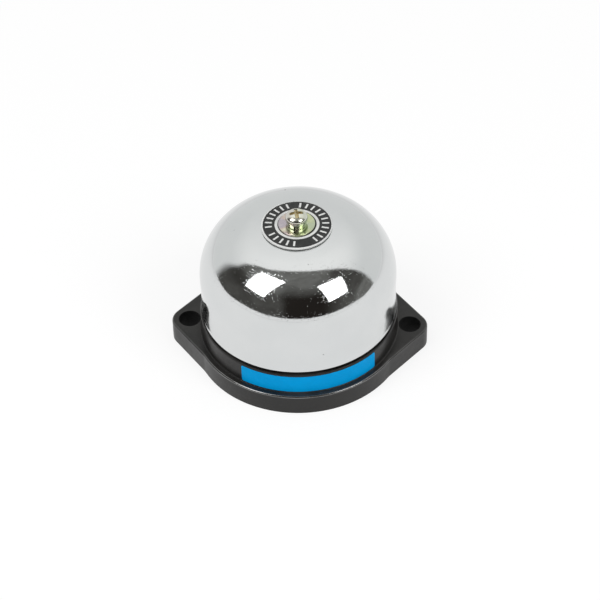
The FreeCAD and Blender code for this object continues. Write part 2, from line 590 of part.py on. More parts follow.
def build_pillar():
    """Turned pillar with a foot on the deck and a threaded spigot nutted below it."""
    foot_top = "(collar_top + pillar_foot_height)"
    tip = f"({NUT_BOTTOM} - spigot_end)"
    bore = "(screw_radius + seat_gap)"
    bore_end = f"({PILLAR_TOP} - crown_grip - cut_past)"
    turned("centre_pillar", [
        ("0", tip), ("spigot_radius", tip), ("spigot_radius", "collar_top"),
        ("pillar_foot_radius", "collar_top"), ("pillar_foot_radius", foot_top),
        ("pillar_radius", foot_top), ("pillar_radius", PILLAR_TOP), (bore, PILLAR_TOP),
        (bore, bore_end), ("0", bore_end)])
    ring("pillar_washer", "(spigot_radius + bolt_gap)", "pillar_washer_radius", NUT_TOP, BOSS_BOTTOM)
    nut = new_body("pillar_nut")
    hexagon = sketch_on(nut, "XY", NUT_BOTTOM)
    across_corners = "(nut_flats / (2 * cos(30)))"
    add_outline(hexagon, [(f"({across_corners} * cos({60 * i + 30}))",
                           f"({across_corners} * sin({60 * i + 30}))") for i in range(6)])
    add_feature(nut, "Pad", hexagon, "nut_height")
    bore = sketch_on(nut, "XY", f"({NUT_TOP} + cut_past)")
    add_circle(bore, "0", "0", "(spigot_radius + seat_gap)")
    add_feature(nut, "Pocket", bore, "(nut_height + 2 * cut_past)")


def build_yoke():
    """U-shaped iron strip: foot on the deck, one cheek at each end of the coil, two screws."""
    body = new_body("solenoid_yoke")
    inner, outer = YOKE_INSIDE, CHEEK
    foot_top = "(collar_top + yoke_thickness)"
    cheek_top = f"({COIL_Z} + yoke_above)"
    profile = sketch_on(body, "XZ")
    add_outline(profile, [
        (f"(0 - {outer})", "collar_top"), (outer, "collar_top"), (outer, cheek_top),
        (inner, cheek_top), (inner, foot_top), (f"(0 - {inner})", foot_top),
        (f"(0 - {inner})", cheek_top), (f"(0 - {outer})", cheek_top)])
    add_feature(body, "Pad", profile, "yoke_width", symmetric=True)
    bind(body, "Placement.Base.y", COIL_Y)
    outside = value(outer)
    dress_edges(body, "Fillet", "yoke_bend", lambda edge: at_height(edge, value("collar_top")) and all(
        abs(abs(vertex.X) - outside) < 1e-6 for vertex in edge.Vertexes))
    top = value(cheek_top)
    dress_edges(body, "Fillet", "cheek_corner", lambda edge: at_height(edge, top) and abs(
        edge.Vertexes[0].Y - edge.Vertexes[-1].Y) < 1e-6)
    bores = sketch_on(body, "YZ")
    add_circle(bores, "0", COIL_Z, "(tube_radius + seat_gap)")
    add_feature(body, "Pocket", bores, f"(2 * {outer} + 2 * cut_past)", symmetric=True)
    holes = sketch_on(body, "XY", f"({foot_top} + cut_past)")
    for side in ("", "0 - "):
        add_circle(holes, f"({side}{YOKE_SCREW_X})", "0", "(screw_radius + seat_gap)")
    add_feature(body, "Pocket", holes, "(yoke_thickness + 2 * cut_past)")


def turned_pair(label, offset, setback, corners):
    """Two equal turned pieces, upright at each side of the centre."""
    body = new_body(label)
    sketch = sketch_on(body, "XZ")
    bind(sketch, "AttachmentOffset.Base.x", offset)
    bind(sketch, "AttachmentOffset.Base.z", f"(0 - {setback})")
    add_outline(sketch, corners)
    mirror_left(body, revolve(body, sketch))
    return body


def screw_section(tip, under_head):
    """Half the section of a small screw that points up, head below."""
    head_bottom = f"({under_head} - small_head_height)"
    return [("0", head_bottom), ("small_head_radius", head_bottom),
            ("small_head_radius", under_head), ("screw_radius", under_head),
            ("screw_radius", tip), ("0", tip)]


def build_yoke_screws():
    washer_bottom = f"({DECK_UNDER} - small_lock_thickness)"
    tip = "(collar_top + yoke_thickness + yoke_screw_tip)"
    turned_pair("yoke_screws", YOKE_SCREW_X, COIL_Y, screw_section(tip, washer_bottom))
    turned_pair("yoke_lock_washers", YOKE_SCREW_X, COIL_Y, [
        (BOLT_HOLE, washer_bottom), ("lock_radius", washer_bottom),
        ("lock_radius", DECK_UNDER), (BOLT_HOLE, DECK_UNDER)])


def build_solenoid():
    """The fixed half: bobbin, winding, tape, guide tube, pole and bumper along the coil's axis."""
    end, inner = BOBBIN_END, BOBBIN_INNER
    lay_on_coil_axis(turned("coil_bobbin", [
        (BOBBIN_BORE, f"(0 - {end})"), ("bobbin_radius", f"(0 - {end})"),
        ("bobbin_radius", f"(0 - {inner})"), (BOBBIN_TUBE, f"(0 - {inner})"),
        (BOBBIN_TUBE, inner), ("bobbin_radius", inner), ("bobbin_radius", end), (BOBBIN_BORE, end)]))
    lay_on_coil_axis(ring("coil_winding", BOBBIN_TUBE, "winding_radius", f"(0 - {WOUND})", WOUND))
    lay_on_coil_axis(ring("coil_tape", "winding_radius", TAPE_RADIUS, f"(0 - {WOUND})", WOUND))
    lay_on_coil_axis(turned("guide_tube", [
        (TUBE_BORE, SPRING_SEAT), ("tube_flange_radius", SPRING_SEAT),
        ("tube_flange_radius", f"(0 - {CHEEK})"), ("tube_radius", f"(0 - {CHEEK})"),
        ("tube_radius", CHEEK), (TUBE_BORE, CHEEK)]))
    bore = "(rod_radius + rod_gap)"
    body_radius = f"({TUBE_BORE} - seat_gap)"
    lay_on_coil_axis(turned("fixed_pole", [
        (bore, POLE_FACE), (body_radius, POLE_FACE), (body_radius, CHEEK),
        ("pole_flange_radius", CHEEK), ("pole_flange_radius", BUMPER_SEAT), (bore, BUMPER_SEAT)]))
    lay_on_coil_axis(ring("bumper_washer", bore, "bumper_radius", BUMPER_SEAT,
                          f"({BUMPER_SEAT} + bumper_thickness)"))


def build_striker():
    """The moving half: plunger, push rod, round-nosed hammer, retaining clip and return spring."""
    groove = f"({PLUNGER_RADIUS} - groove_depth)"
    grip = f"({PLUNGER_FACE} - rod_grip)"
    lay_on_coil_axis(turned("plunger", [
        ("0", PLUNGER_END), (PLUNGER_RADIUS, PLUNGER_END), (PLUNGER_RADIUS, CLIP_BACK),
        (groove, CLIP_BACK), (groove, CLIP_FACE), (PLUNGER_RADIUS, CLIP_FACE),
        (PLUNGER_RADIUS, PLUNGER_FACE), ("rod_radius", PLUNGER_FACE),
        ("rod_radius", grip), ("0", grip)]))
    rod_end = f"({HAMMER_BACK} + rod_grip)"
    lay_on_coil_axis(turned("push_rod", [
        ("0", grip), ("rod_radius", grip), ("rod_radius", rod_end), ("0", rod_end)]))
    nose = f"({HAMMER_CENTRE} + hammer_radius)"
    lay_on_coil_axis(turned("hammer", [
        ("rod_radius", HAMMER_BACK), ("hammer_radius", HAMMER_BACK),
        ("hammer_radius", HAMMER_CENTRE), ("0", nose), ("0", rod_end), ("rod_radius", rod_end)],
        {2: ("0", HAMMER_CENTRE, 1)}))
    clip = ring("retaining_clip", groove, "clip_radius", CLIP_BACK, CLIP_FACE)
    mouth = sketch_on(clip, "XY", f"({CLIP_FACE} + cut_past)")
    add_rectangle(mouth, "(clip_radius / 2 + cut_past)", "0", "(clip_radius + 2 * cut_past)", "clip_mouth")
    add_feature(clip, "Pocket", mouth, "(clip_thickness + 2 * cut_past)")
    lay_on_coil_axis(clip)

    # The spring's wire is six-sided, which keeps its faces few.
    spring = new_body("return_spring")
    section = sketch_on(spring, "XZ")
    low = f"({CLIP_FACE} + spring_wire / 2)"
    add_outline(section, [(f"(spring_mean_radius + spring_wire / 2 * cos({60 * i + 30}))",
                           f"({low} + spring_wire / 2 * sin({60 * i + 30}))") for i in range(6)])
    coil = spring.newObject("PartDesign::AdditiveHelix", "Coils")
    coil.Profile = section
    coil.ReferenceAxis = (section, ["V_Axis"])
    coil.Mode = "height-turns-angle"
    bind(coil, "Height", "(spring_length - spring_wire)")
    bind(coil, "Turns", "spring_turns")
    lay_on_coil_axis(spring)


def build_terminals():
    """Two brass plates under their posts, each with a clamp washer and a screw."""
    plates = new_body("terminal_plates")
    outline = sketch_on(plates, "XY", STRIP_BOTTOM)
    left, right = f"({LEAD_X} - strip_width / 2)", f"({LEAD_X} + strip_width / 2)"
    tab_left, tab_right = f"({LEAD_X} - tab_width / 2)", f"({LEAD_X} + tab_width / 2)"
    front = f"(0 - {POST_SETBACK} - strip_length / 2)"
    add_outline(outline, [(left, front), (right, front), (right, STRIP_BACK),
                          (tab_right, STRIP_BACK), (tab_right, TAB_END), (tab_left, TAB_END),
                          (tab_left, STRIP_BACK), (left, STRIP_BACK)])
    add_circle(outline, LEAD_X, f"(0 - {POST_SETBACK})", BOLT_HOLE)
    mirror_left(plates, add_feature(plates, "Pad", outline, "strip_thickness"))
    turned_pair("terminal_clamps", LEAD_X, f"(0 - {POST_SETBACK})", [
        (BOLT_HOLE, CLAMP_BOTTOM), ("clamp_radius", CLAMP_BOTTOM),
        ("clamp_radius", STRIP_BOTTOM), (BOLT_HOLE, STRIP_BOTTOM)])
    turned_pair("terminal_screws", LEAD_X, f"(0 - {POST_SETBACK})",
                screw_section(f"({POST_BOTTOM} + terminal_reach)", CLAMP_BOTTOM))


def cylinder_along_y(label, radius, front, back):
    """A plain cylinder along Y beside the centre, at the diode's height."""
    rod = doc.addObject("Part::Cylinder", label)
    rod.Label = label
    bind(rod, "Radius", radius)
    bind(rod, "Height", f"({back} - {front})")
    rod.Placement.Rotation = FreeCAD.Rotation(Vector(1, 0, 0), -90)
    bind(rod, "Placement.Base.x", LEAD_X)
    bind(rod, "Placement.Base.y", front)
    bind(rod, "Placement.Base.z", DIODE_Z)
    return rod


def build_wiring():
    """Diode between the coil and the right terminal, and both coil leads through the deck."""
    parts.append(cylinder_along_y("diode", "diode_radius", DIODE_FRONT, DIODE_BACK))
    wires = doc.addObject("Part::Compound", "diode_leads")
    wires.Links = [
        cylinder_along_y("diode_lead_front", "diode_wire_radius", f"({TAB_END} - tab_lap)", DIODE_FRONT),
        cylinder_along_y("diode_lead_back", "diode_wire_radius", DIODE_BACK, DIODE_TIP)]
    parts.append(wires)
    sleeve = doc.addObject("Part::Cut", "splice_sleeve")
    half = "sleeve_length / 2"
    ends = (f"({DIODE_TIP} - {half})", f"({DIODE_TIP} + {half})")
    sleeve.Base = cylinder_along_y("sleeve_outside", "(lead_radius + sleeve_wall)", *ends)
    sleeve.Tool = cylinder_along_y("sleeve_bore", "lead_radius", *ends)
    parts.append(sleeve)

    # Each lead leaves the tape at 45 degrees towards the front, then drops through the deck.
    step = f"({TAPE_RADIUS} * sin(45))"
    start = (f"({COIL_Y} - {step})", f"({COIL_Z} - {step})")
    elbow = f"({COIL_Z} - {COIL_Y} + {LEAD_Y})"
    plain_z = f"({POST_BOTTOM} + lead_radius)"
    for label, x, level, end in (
            ("coil_lead_left", f"(0 - {LEAD_X})", plain_z, f"({TAB_END} - tab_lap)"),
            ("coil_lead_right", LEAD_X, DIODE_Z, DIODE_TIP)):
        lead(label, [(x,) + start, (x, LEAD_Y, elbow), (x, LEAD_Y, level), (x, end, level)],
             "lead_radius")


def check_and_write():
    """Stop on any failed object or empty cut, then write each sub-part's STEP file."""
    doc.recompute()
    for item in doc.Objects:
        if "Invalid" in item.State or "Error" in item.State:
            raise RuntimeError(item.Label + " failed: " + str(item.State))
        if item.TypeId == "PartDesign::Pocket":
            if item.Shape.Volume > item.BaseFeature.Shape.Volume - 1e-6:
                raise RuntimeError(item.Label + " cut nothing")
    os.makedirs("parts", exist_ok=True)
    for part in parts:
        if part.Shape.isNull() or not part.Shape.isValid() or not part.Shape.Solids:
            raise RuntimeError(part.Label + " has no valid solid")
        part.Shape.exportStep("parts/%s.step" % part.Label)
        box = part.Shape.BoundBox
        print("%-22s %d solid(s) %9.3f mm3  x %.2f..%.2f  y %.2f..%.2f  z %.2f..%.2f" % (
            part.Label, len(part.Shape.Solids), part.Shape.Volume,
            box.XMin, box.XMax, box.YMin, box.YMax, box.ZMin, box.ZMax))


parts = []
build_base()
build_label()
build_gong()
build_crown()
build_pillar()
build_yoke()
build_yoke_screws()
build_solenoid()
build_striker()
build_terminals()
build_wiring()
check_and_write()
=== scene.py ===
import bpy
import bmesh
import math
from mathutils import Matrix, Vector


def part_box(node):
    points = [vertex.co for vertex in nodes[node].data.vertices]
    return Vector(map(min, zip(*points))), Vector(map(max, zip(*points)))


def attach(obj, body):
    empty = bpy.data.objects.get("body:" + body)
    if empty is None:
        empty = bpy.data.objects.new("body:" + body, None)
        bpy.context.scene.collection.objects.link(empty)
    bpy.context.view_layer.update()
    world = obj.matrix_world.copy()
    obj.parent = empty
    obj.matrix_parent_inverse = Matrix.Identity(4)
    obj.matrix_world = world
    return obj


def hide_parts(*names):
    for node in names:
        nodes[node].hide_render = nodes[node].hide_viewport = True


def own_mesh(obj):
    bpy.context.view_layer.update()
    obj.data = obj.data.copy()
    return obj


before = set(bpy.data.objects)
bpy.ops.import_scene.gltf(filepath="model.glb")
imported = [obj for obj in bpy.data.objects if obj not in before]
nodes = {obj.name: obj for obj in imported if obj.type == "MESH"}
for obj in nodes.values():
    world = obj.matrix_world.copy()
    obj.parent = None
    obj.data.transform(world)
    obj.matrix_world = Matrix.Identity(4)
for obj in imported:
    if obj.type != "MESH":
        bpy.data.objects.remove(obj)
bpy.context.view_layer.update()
scene = bpy.context.scene
mm = 0.001
print("frame loaded,", len(nodes), "nodes")


# Node helpers: a source may be another node's socket or a plain value, and sockets go by name or number.
# A new node joins the tree of its first source that is a socket.
def plug(target, source):
    if isinstance(source, bpy.types.NodeSocket):
        target.id_data.links.new(source, target)
    elif isinstance(source, (tuple, list)) and target.type == "RGBA":
        target.default_value = (*source[:3], 1.0)
    else:
        target.default_value = source


def addNode(kind, sockets=None, tree=None, **settings):  # gives back what the node puts out
    if tree is None:
        tree = next(source.id_data for source in sockets.values() if isinstance(source, bpy.types.NodeSocket))
    node = tree.nodes.new(kind)
    for label, setting in settings.items():
        setattr(node, label, setting)
    for label, source in (sockets or {}).items():
        plug(node.inputs[label], source)
    return node.outputs


def calc(operation, *terms, clamp=False):
    return addNode("ShaderNodeMath", dict(enumerate(terms)), operation=operation, use_clamp=clamp)[0]


def times(first, second, clamp=False):
    return calc("MULTIPLY", first, second, clamp=clamp)


def minus(first, second):
    return calc("SUBTRACT", first, second)


def timesPlus(first, second, third, clamp=False):
    return calc("MULTIPLY_ADD", first, second, third, clamp=clamp)


def vectorCalc(operation, *terms):
    return addNode("ShaderNodeVectorMath", dict(enumerate(terms)), operation=operation)


def vector(x=0.0, y=0.0, z=0.0):
    return addNode("ShaderNodeCombineXYZ", {"X": x, "Y": y, "Z": z})[0]


def split(source):
    return addNode("ShaderNodeSeparateXYZ", {"Vector": source})


def fade(source, start, end, low=0.0, high=1.0, shape="SMOOTHSTEP"):
    return addNode("ShaderNodeMapRange", {
        "Value": source, "From Min": start, "From Max": end, "To Min": low, "To Max": high},
        interpolation_type=shape)["Result"]


def bothFades(first, second):
    return times(fade(*first), fade(*second))


def tint(factor, first, second):
    return addNode("ShaderNodeMix", {0: factor, 6: first, 7: second}, data_type="RGBA")[2]


def between(factor, first, second):
    return addNode("ShaderNodeMix", {0: factor, 2: first, 3: second}, data_type="FLOAT")[0]


def noise(place, scale, detail=2.0, roughness=0.5, distortion=0.0):
    return addNode("ShaderNodeTexNoise", {
        "Vector": place, "Scale": scale, "Detail": detail, "Roughness": roughness, "Distortion": distortion})["Fac"]


def cloudy(place, texture, limits):
    return fade(noise(place, *texture), *limits)


def cells(place, scale):  # distance to the nearest cell's middle, and three random values of that cell
    made = addNode("ShaderNodeTexVoronoi", {"Vector": place, "Scale": scale})
    return made["Distance"], addNode("ShaderNodeSeparateColor", {"Color": made["Color"]})


def bump(height, depth, normal=None):
    sockets = {"Height": height, "Distance": depth, "Strength": 1.0}
    if normal is not None:
        sockets["Normal"] = normal
    return addNode("ShaderNodeBump", sockets)["Normal"]


def stained(colour, *coats):  # each coat is a mask, its share and its colour
    for mask, share, paint in coats:
        colour = tint(times(mask, share), colour, paint)
    return colour


def roughened(roughness, masks, dulls):  # dulls is what each mask adds
    for mask, dull in zip(masks, dulls):
        roughness = timesPlus(mask, dull, roughness, clamp=True)
    return roughness


def groupEnds(tree):
    return tree.nodes.new("NodeGroupInput").outputs, tree.nodes.new("NodeGroupOutput").inputs


def newEffect(name, amounts, outputs):
    tree = bpy.data.node_groups.new(name, "ShaderNodeTree")
    tree.interface.new_socket("Vector", in_out="INPUT", socket_type="NodeSocketVector")
    for label, amount in amounts.items():
        tree.interface.new_socket(label, in_out="INPUT", socket_type="NodeSocketFloat").default_value = amount
    for label in outputs:
        tree.interface.new_socket(label, in_out="OUTPUT", socket_type="NodeSocketFloat")
    return tree, *groupEnds(tree)


def effect(group, place, *amounts):
    return addNode("ShaderNodeGroup", dict(enumerate((place, *amounts))), node_tree=group)


# Shared surface effects.
grainShape = {"coarse": 0.27, "fine": (2.0, 0.6), "tone": (0.35, 0.65)}
scratchShape = {"wobbleScale": 90.0, "wobbleDetail": 1.0, "wobble": 0.0012, "line": (2.0, 0.65), "soft": 0.04,
                "sets": ((0.0, (1.0, 34.0, 26.0)), (1.9, (30.0, 1.0, 38.0)))}  # turn and stretch of each set
dustShape = {"level": (0.2, 0.95), "cloudScale": 0.2, "clouds": (0.42, 0.75), "cloudShare": 0.5,
             "speckScale": 6.0, "specks": (0.62, 0.74), "speckShare": 0.8, "large": (4.0, 0.65), "small": (2.0, 0.7)}
wearShape = {"radius": 0.00028, "samples": 4, "edge": (0.995, 0.86), "rough": (4.0, 0.7), "patches": (0.38, 0.66)}


def makeGrain(shape):
    tree, given, made = newEffect("fineGrain", {"Scale": 2000.0, "Softness": 0.5}, ("Height", "Tone"))
    coarse = noise(given["Vector"], times(given["Scale"], shape["coarse"]))
    fine = noise(given["Vector"], given["Scale"], *shape["fine"])
    height = between(given["Softness"], fine, coarse)
    plug(made["Height"], height)
    plug(made["Tone"], fade(height, *shape["tone"]))
    return tree


def makeScratches(shape):
    tree, given, made = newEffect("fineScratches", {"Scale": 60.0, "Turn": 0.4, "Rarity": 0.72}, ("Mask",))
    wobble = addNode("ShaderNodeTexNoise", {
        "Vector": given["Vector"], "Scale": shape["wobbleScale"], "Detail": shape["wobbleDetail"]})["Color"]
    bent = vectorCalc("MULTIPLY_ADD", wobble, (shape["wobble"],) * 3, given["Vector"])[0]
    total = 0.0
    for turn, stretch in shape["sets"]:
        turned = addNode("ShaderNodeVectorRotate", {
            "Vector": bent, "Angle": calc("ADD", given["Turn"], turn)}, rotation_type="Z_AXIS")
        drawn = vectorCalc("MULTIPLY", turned[0], stretch)[0]
        line = noise(drawn, given["Scale"], *shape["line"])
        mask = fade(line, given["Rarity"], calc("ADD", given["Rarity"], shape["soft"]))
        total = calc("MAXIMUM", total, mask)
    plug(made["Mask"], total)
    return tree


def makeDust(shape):
    tree, given, made = newEffect("settledDust", {"Scale": 500.0, "Amount": 0.5}, ("Mask",))
    normal = addNode("ShaderNodeNewGeometry", tree=tree)["Normal"]
    level = fade(split(normal)["Z"], *shape["level"])
    large = noise(given["Vector"], times(given["Scale"], shape["cloudScale"]), *shape["large"])
    small = noise(given["Vector"], times(given["Scale"], shape["speckScale"]), *shape["small"])
    clouds = times(fade(large, *shape["clouds"]), shape["cloudShare"])
    film = timesPlus(fade(small, *shape["specks"]), shape["speckShare"], clouds)
    plug(made["Mask"], times(times(film, level), given["Amount"], clamp=True))
    return tree


def makeWear(shape):
    tree, given, made = newEffect("edgeWear", {"Scale": 700.0, "Amount": 0.5}, ("Mask",))
    rounded = addNode("ShaderNodeBevel", {"Radius": shape["radius"]}, tree, samples=shape["samples"])["Normal"]
    plain = addNode("ShaderNodeNewGeometry", tree=tree)["Normal"]
    facing = vectorCalc("DOT_PRODUCT", rounded, plain)["Value"]
    patches = noise(given["Vector"], given["Scale"], *shape["rough"])
    worn = bothFades((facing, *shape["edge"]), (patches, *shape["patches"]))
    plug(made["Mask"], times(worn, given["Amount"], clamp=True))
    return tree


fineGrain, fineScratches = makeGrain(grainShape), makeScratches(scratchShape)
settledDust, edgeWear = makeDust(dustShape), makeWear(wearShape)
finishes = {}
print("shared effects made")


def objectPlace(tree):
    return addNode("ShaderNodeTexCoord", tree=tree)["Object"]


def newFinish(name, **constants):
    material = finishes[name] = bpy.data.materials.new(name)
    material.use_nodes = True
    tree = material.node_tree
    shader = tree.nodes["Principled BSDF"]
    for label, amount in constants.items():
        shader.inputs[label.replace("_", " ")].default_value = amount
    return shader.inputs, objectPlace(tree)


def mottled(place, look):
    return tint(cloudy(place, *look["mottle"]), look["first"], look["second"])


def complete(shader, colour, roughness, normal):
    for label, source in (("Base Color", colour), ("Roughness", roughness), ("Normal", normal)):
        plug(shader[label], source)


# Chrome plating of the gong: cloudy, pimpled, a little pitted, with fine wipe marks.
chromePlating = {
    "first": (0.683, 0.698, 0.70), "second": (0.705, 0.718, 0.718), "mottle": ((75.0, 4.0, 0.6), (0.3, 0.7)),
    "pitScale": 235.0, "pitRarity": (0.90, 0.93), "pitSize": (0.05, 0.025), "pitCore": 0.5, "pitShare": 0.85,
    "pitColour": (0.10, 0.10, 0.095), "pitSink": 4.0, "marks": (55.0, 0.7, 0.74), "grain": (2300.0, 0.35),
    "grainDepth": 0.0000065, "smudges": ((130.0, 5.0, 0.6), (0.4, 0.72)), "roughness": (0.035, 0.085),
    "dulls": (0.18, 0.4, 1.0), "dullBand": (0.0245, 0.0155, 0.0, 0.13), "dullPatches": (0.7, 1.2),
    "pimpleScale": 2700.0, "pimpleReach": 0.42, "pimplePower": 2.2, "pimpleDepth": 0.000023,
    "pimplePatches": ((120.0, 3.0, 0.6), (0.36, 0.62, 0.35, 1.0)), "wavesScale": 210.0, "wavesDepth": 0.0000035}


def makeChrome(look):
    shader, place = newFinish("chromePlating", Metallic=1.0)
    distance, chance = cells(place, look["pitScale"])
    size = timesPlus(chance["Green"], *look["pitSize"])
    core = fade(distance, size, times(size, look["pitCore"]))
    pits = times(core, fade(chance["Red"], *look["pitRarity"]))
    colour = stained(mottled(place, look), (pits, look["pitShare"], look["pitColour"]))
    marks = effect(fineScratches, place, *look["marks"])["Mask"]
    smudge = cloudy(place, *look["smudges"])
    # The lower skirt is handled most.
    handled = bothFades((split(place)["Z"], *look["dullBand"]), (smudge, 0.0, 1.0, *look["dullPatches"]))
    roughness = roughened(fade(smudge, 0.0, 1.0, *look["roughness"]), (marks, pits, handled), look["dulls"])
    waves = bump(noise(place, look["wavesScale"]), look["wavesDepth"])
    distance, chance = cells(place, look["pimpleScale"])
    dome = times(fade(distance, look["pimpleReach"], 0.0), calc("POWER", chance["Blue"], look["pimplePower"]))
    patches = cloudy(place, *look["pimplePatches"])
    pimpled = bump(times(dome, patches), look["pimpleDepth"], waves)
    grain = effect(fineGrain, place, *look["grain"])["Height"]
    relief = minus(grain, timesPlus(pits, look["pitSink"], marks))
    complete(shader, colour, roughness, bump(relief, look["grainDepth"], pimpled))


# Black moulding: satin, finely eroded, with pale dust on what faces up and rubbed edges; the fixing holes are
# painted dark as shade.
fixingHoles = {"along": 31.3, "radius": 3.12, "surround": 3.6}
blackMoulding = {
    "first": (0.0085, 0.0080, 0.0074), "second": (0.0165, 0.0155, 0.0142),
    "flow": ((90.0, 4.0, 0.6, 0.4), (0.32, 0.7)), "edgeColour": (0.06, 0.057, 0.053),
    "dustColour": (0.16, 0.155, 0.145), "paintedHoleShade": (0.0012, 0.0012, 0.001), "wear": (800.0, 0.55),
    "marks": (48.0, 0.2, 0.7), "markShare": 0.35, "markSink": 0.8, "dust": (420.0, 0.22), "holeSoft": 0.00006,
    "roughness": (0.27, 0.38), "grain": (2600.0, 0.4), "grainDepth": 0.0000038,
    "dulls": (0.5, 0.08, 0.5), "polish": ((160.0, 3.0, 0.6), (0.3, 0.6, 0.55, 1.0))}


def makeMoulding(look, holes):
    shader, place = newFinish("blackMoulding", Specular_IOR_Level=0.38, Coat_Roughness=0.12, Coat_IOR=2.5)
    flow = cloudy(place, *look["flow"])
    rubbed = effect(edgeWear, place, *look["wear"])["Mask"]
    marks = effect(fineScratches, place, *look["marks"])["Mask"]
    dust = effect(settledDust, place, *look["dust"])["Mask"]
    parts = split(place)
    beside = minus(calc("ABSOLUTE", parts["X"]), holes["along"] * mm)
    reach = vectorCalc("LENGTH", vector(beside, parts["Y"]))["Value"]
    # Inside the fixing holes the colour is painted near black as shade; there the surface is also rougher and has no
    # coat.
    inHole = fade(reach, holes["radius"] * mm + look["holeSoft"], holes["radius"] * mm)
    colour = stained(tint(flow, look["first"], look["second"]),
                     (rubbed, 1.0, look["edgeColour"]), (marks, look["markShare"], look["edgeColour"]),
                     (dust, 1.0, look["dustColour"]), (inHole, 1.0, look["paintedHoleShade"]))
    grain = effect(fineGrain, place, *look["grain"])
    roughness = roughened(fade(flow, 0.0, 1.0, *look["roughness"]), (dust, grain["Tone"], inHole), look["dulls"])
    polished = addNode("ShaderNodeAttribute", tree=place.id_data, attribute_name="rubbed")["Fac"]
    polished = times(polished, cloudy(place, *look["polish"]))
    plug(shader["Coat Weight"], times(polished, minus(1.0, inHole)))
    relief = minus(grain["Height"], times(marks, look["markSink"]))
    complete(shader, colour, roughness, bump(relief, look["grainDepth"]))


# Yellow passivated zinc: the film runs from lilac through straw to green across a piece.
# Heights are measured down from the top of the screw's head.
yellowZinc = {
    "film": ((0.10, (0.50, 0.45, 0.49)), (0.28, (0.60, 0.50, 0.45)), (0.46, (0.80, 0.80, 0.60)),
             (0.66, (0.57, 0.62, 0.36)), (0.90, (0.50, 0.56, 0.40))),
    "acrossPerMetre": 78.0, "drift": ((190.0, 3.0, 0.55, 0.5), (0.3, 0.7, -0.2, 0.2)),
    "bands": ((520.0, 3.0, 0.6, 0.8), (0.50, 0.72, 0.0, 0.55)),
    "silver": (0.76, 0.77, 0.71), "recessColour": (0.62, 0.53, 0.31), "springTint": (0.62, 0.70, 0.60),
    "edgeColour": (0.80, 0.80, 0.78), "head": (0.0017, 0.0012), "recess": (0.0004, 0.0007),
    "recessReach": (0.0024, 0.0022), "springFoot": (0.0038, 0.0037), "springTop": (0.0019, 0.0020),
    "wear": (1500.0, 0.7), "marks": (140.0, 0.9, 0.66), "grain": (3400.0, 0.5), "grainDepth": 0.0000022,
    "roughness": (0.12, 0.22), "dulls": (0.2, 0.13, 0.05, 0.26), "headShare": 0.72, "springShare": 0.7,
    "middleHue": 0.5}


def makeYellowZinc(look, headTop):
    shader, place = newFinish("yellowZinc", Metallic=1.0)
    parts = split(place)

    def below(name):
        return (parts["Z"], *(headTop - height for height in look[name]))

    drift = cloudy(place, *look["drift"])
    hue = timesPlus(parts["X"], look["acrossPerMetre"], calc("ADD", drift, look["middleHue"]))
    film = addNode("ShaderNodeValToRGB", {"Fac": hue})["Color"]
    stops = film.node.color_ramp.elements
    for number, (position, colour) in enumerate(look["film"]):
        stop = stops[number] if number < 2 else stops.new(position)
        stop.position, stop.color = position, (*colour, 1.0)
    bands = cloudy(place, *look["bands"])
    onHead = fade(*below("head"))
    reach = vectorCalc("LENGTH", vector(parts["X"], parts["Y"]))["Value"]
    sunk = bothFades(below("recess"), (reach, *look["recessReach"]))
    onSpring = bothFades(below("springFoot"), below("springTop"))
    rubbed = effect(edgeWear, place, *look["wear"])["Mask"]
    colour = stained(film, (bands, 1.0, look["silver"]), (onHead, look["headShare"], look["silver"]),
                     (sunk, onHead, look["recessColour"]), (onSpring, look["springShare"], look["springTint"]),
                     (rubbed, 1.0, look["edgeColour"]))
    grain = effect(fineGrain, place, *look["grain"])
    marks = effect(fineScratches, place, *look["marks"])["Mask"]
    roughness = roughened(fade(grain["Tone"], 0.0, 1.0, *look["roughness"]),
                          (marks, onSpring, onHead, sunk), look["dulls"])
    complete(shader, colour, roughness, bump(grain["Height"], look["grainDepth"]))


# Plain surfaces: printed films, metals, and soft or insulating stuffs, each family with its usual values.
# Rub is how scratches colour a film: their share and their colour.
film = {"mottle": ((900.0, 4.0, 0.65), (0.3, 0.7)), "marks": (110.0, 2.1, 0.7), "rub": (0.25, (0.42, 0.42, 0.40)),
        "soft": 0.5, "scale": 2100.0, "depth": 0.0000018}
metal = {"metallic": 1.0, "mottle": ((240.0, 4.0, 0.6), (0.3, 0.7)), "marks": (120.0, 0.5, 0.66), "soft": 0.45,
         "markSink": 0.6, "spots": ((620.0, 5.0, 0.7, 0.5), (0.6, 0.78)), "spotShare": 0.55, "wearScale": 1200.0,
         "wear": 0.5, "brighter": 1.2, "scale": 3000.0, "depth": 0.000003, "dulls": (0.2, 0.15)}
stuff = {"mottle": ((300.0, 4.0, 0.6), (0.3, 0.7)), "soft": 0.5, "depth": 0.000004, "dustScale": 600.0,
         "dust": 0.2, "dustShare": 0.4, "dustColour": (0.32, 0.30, 0.27)}
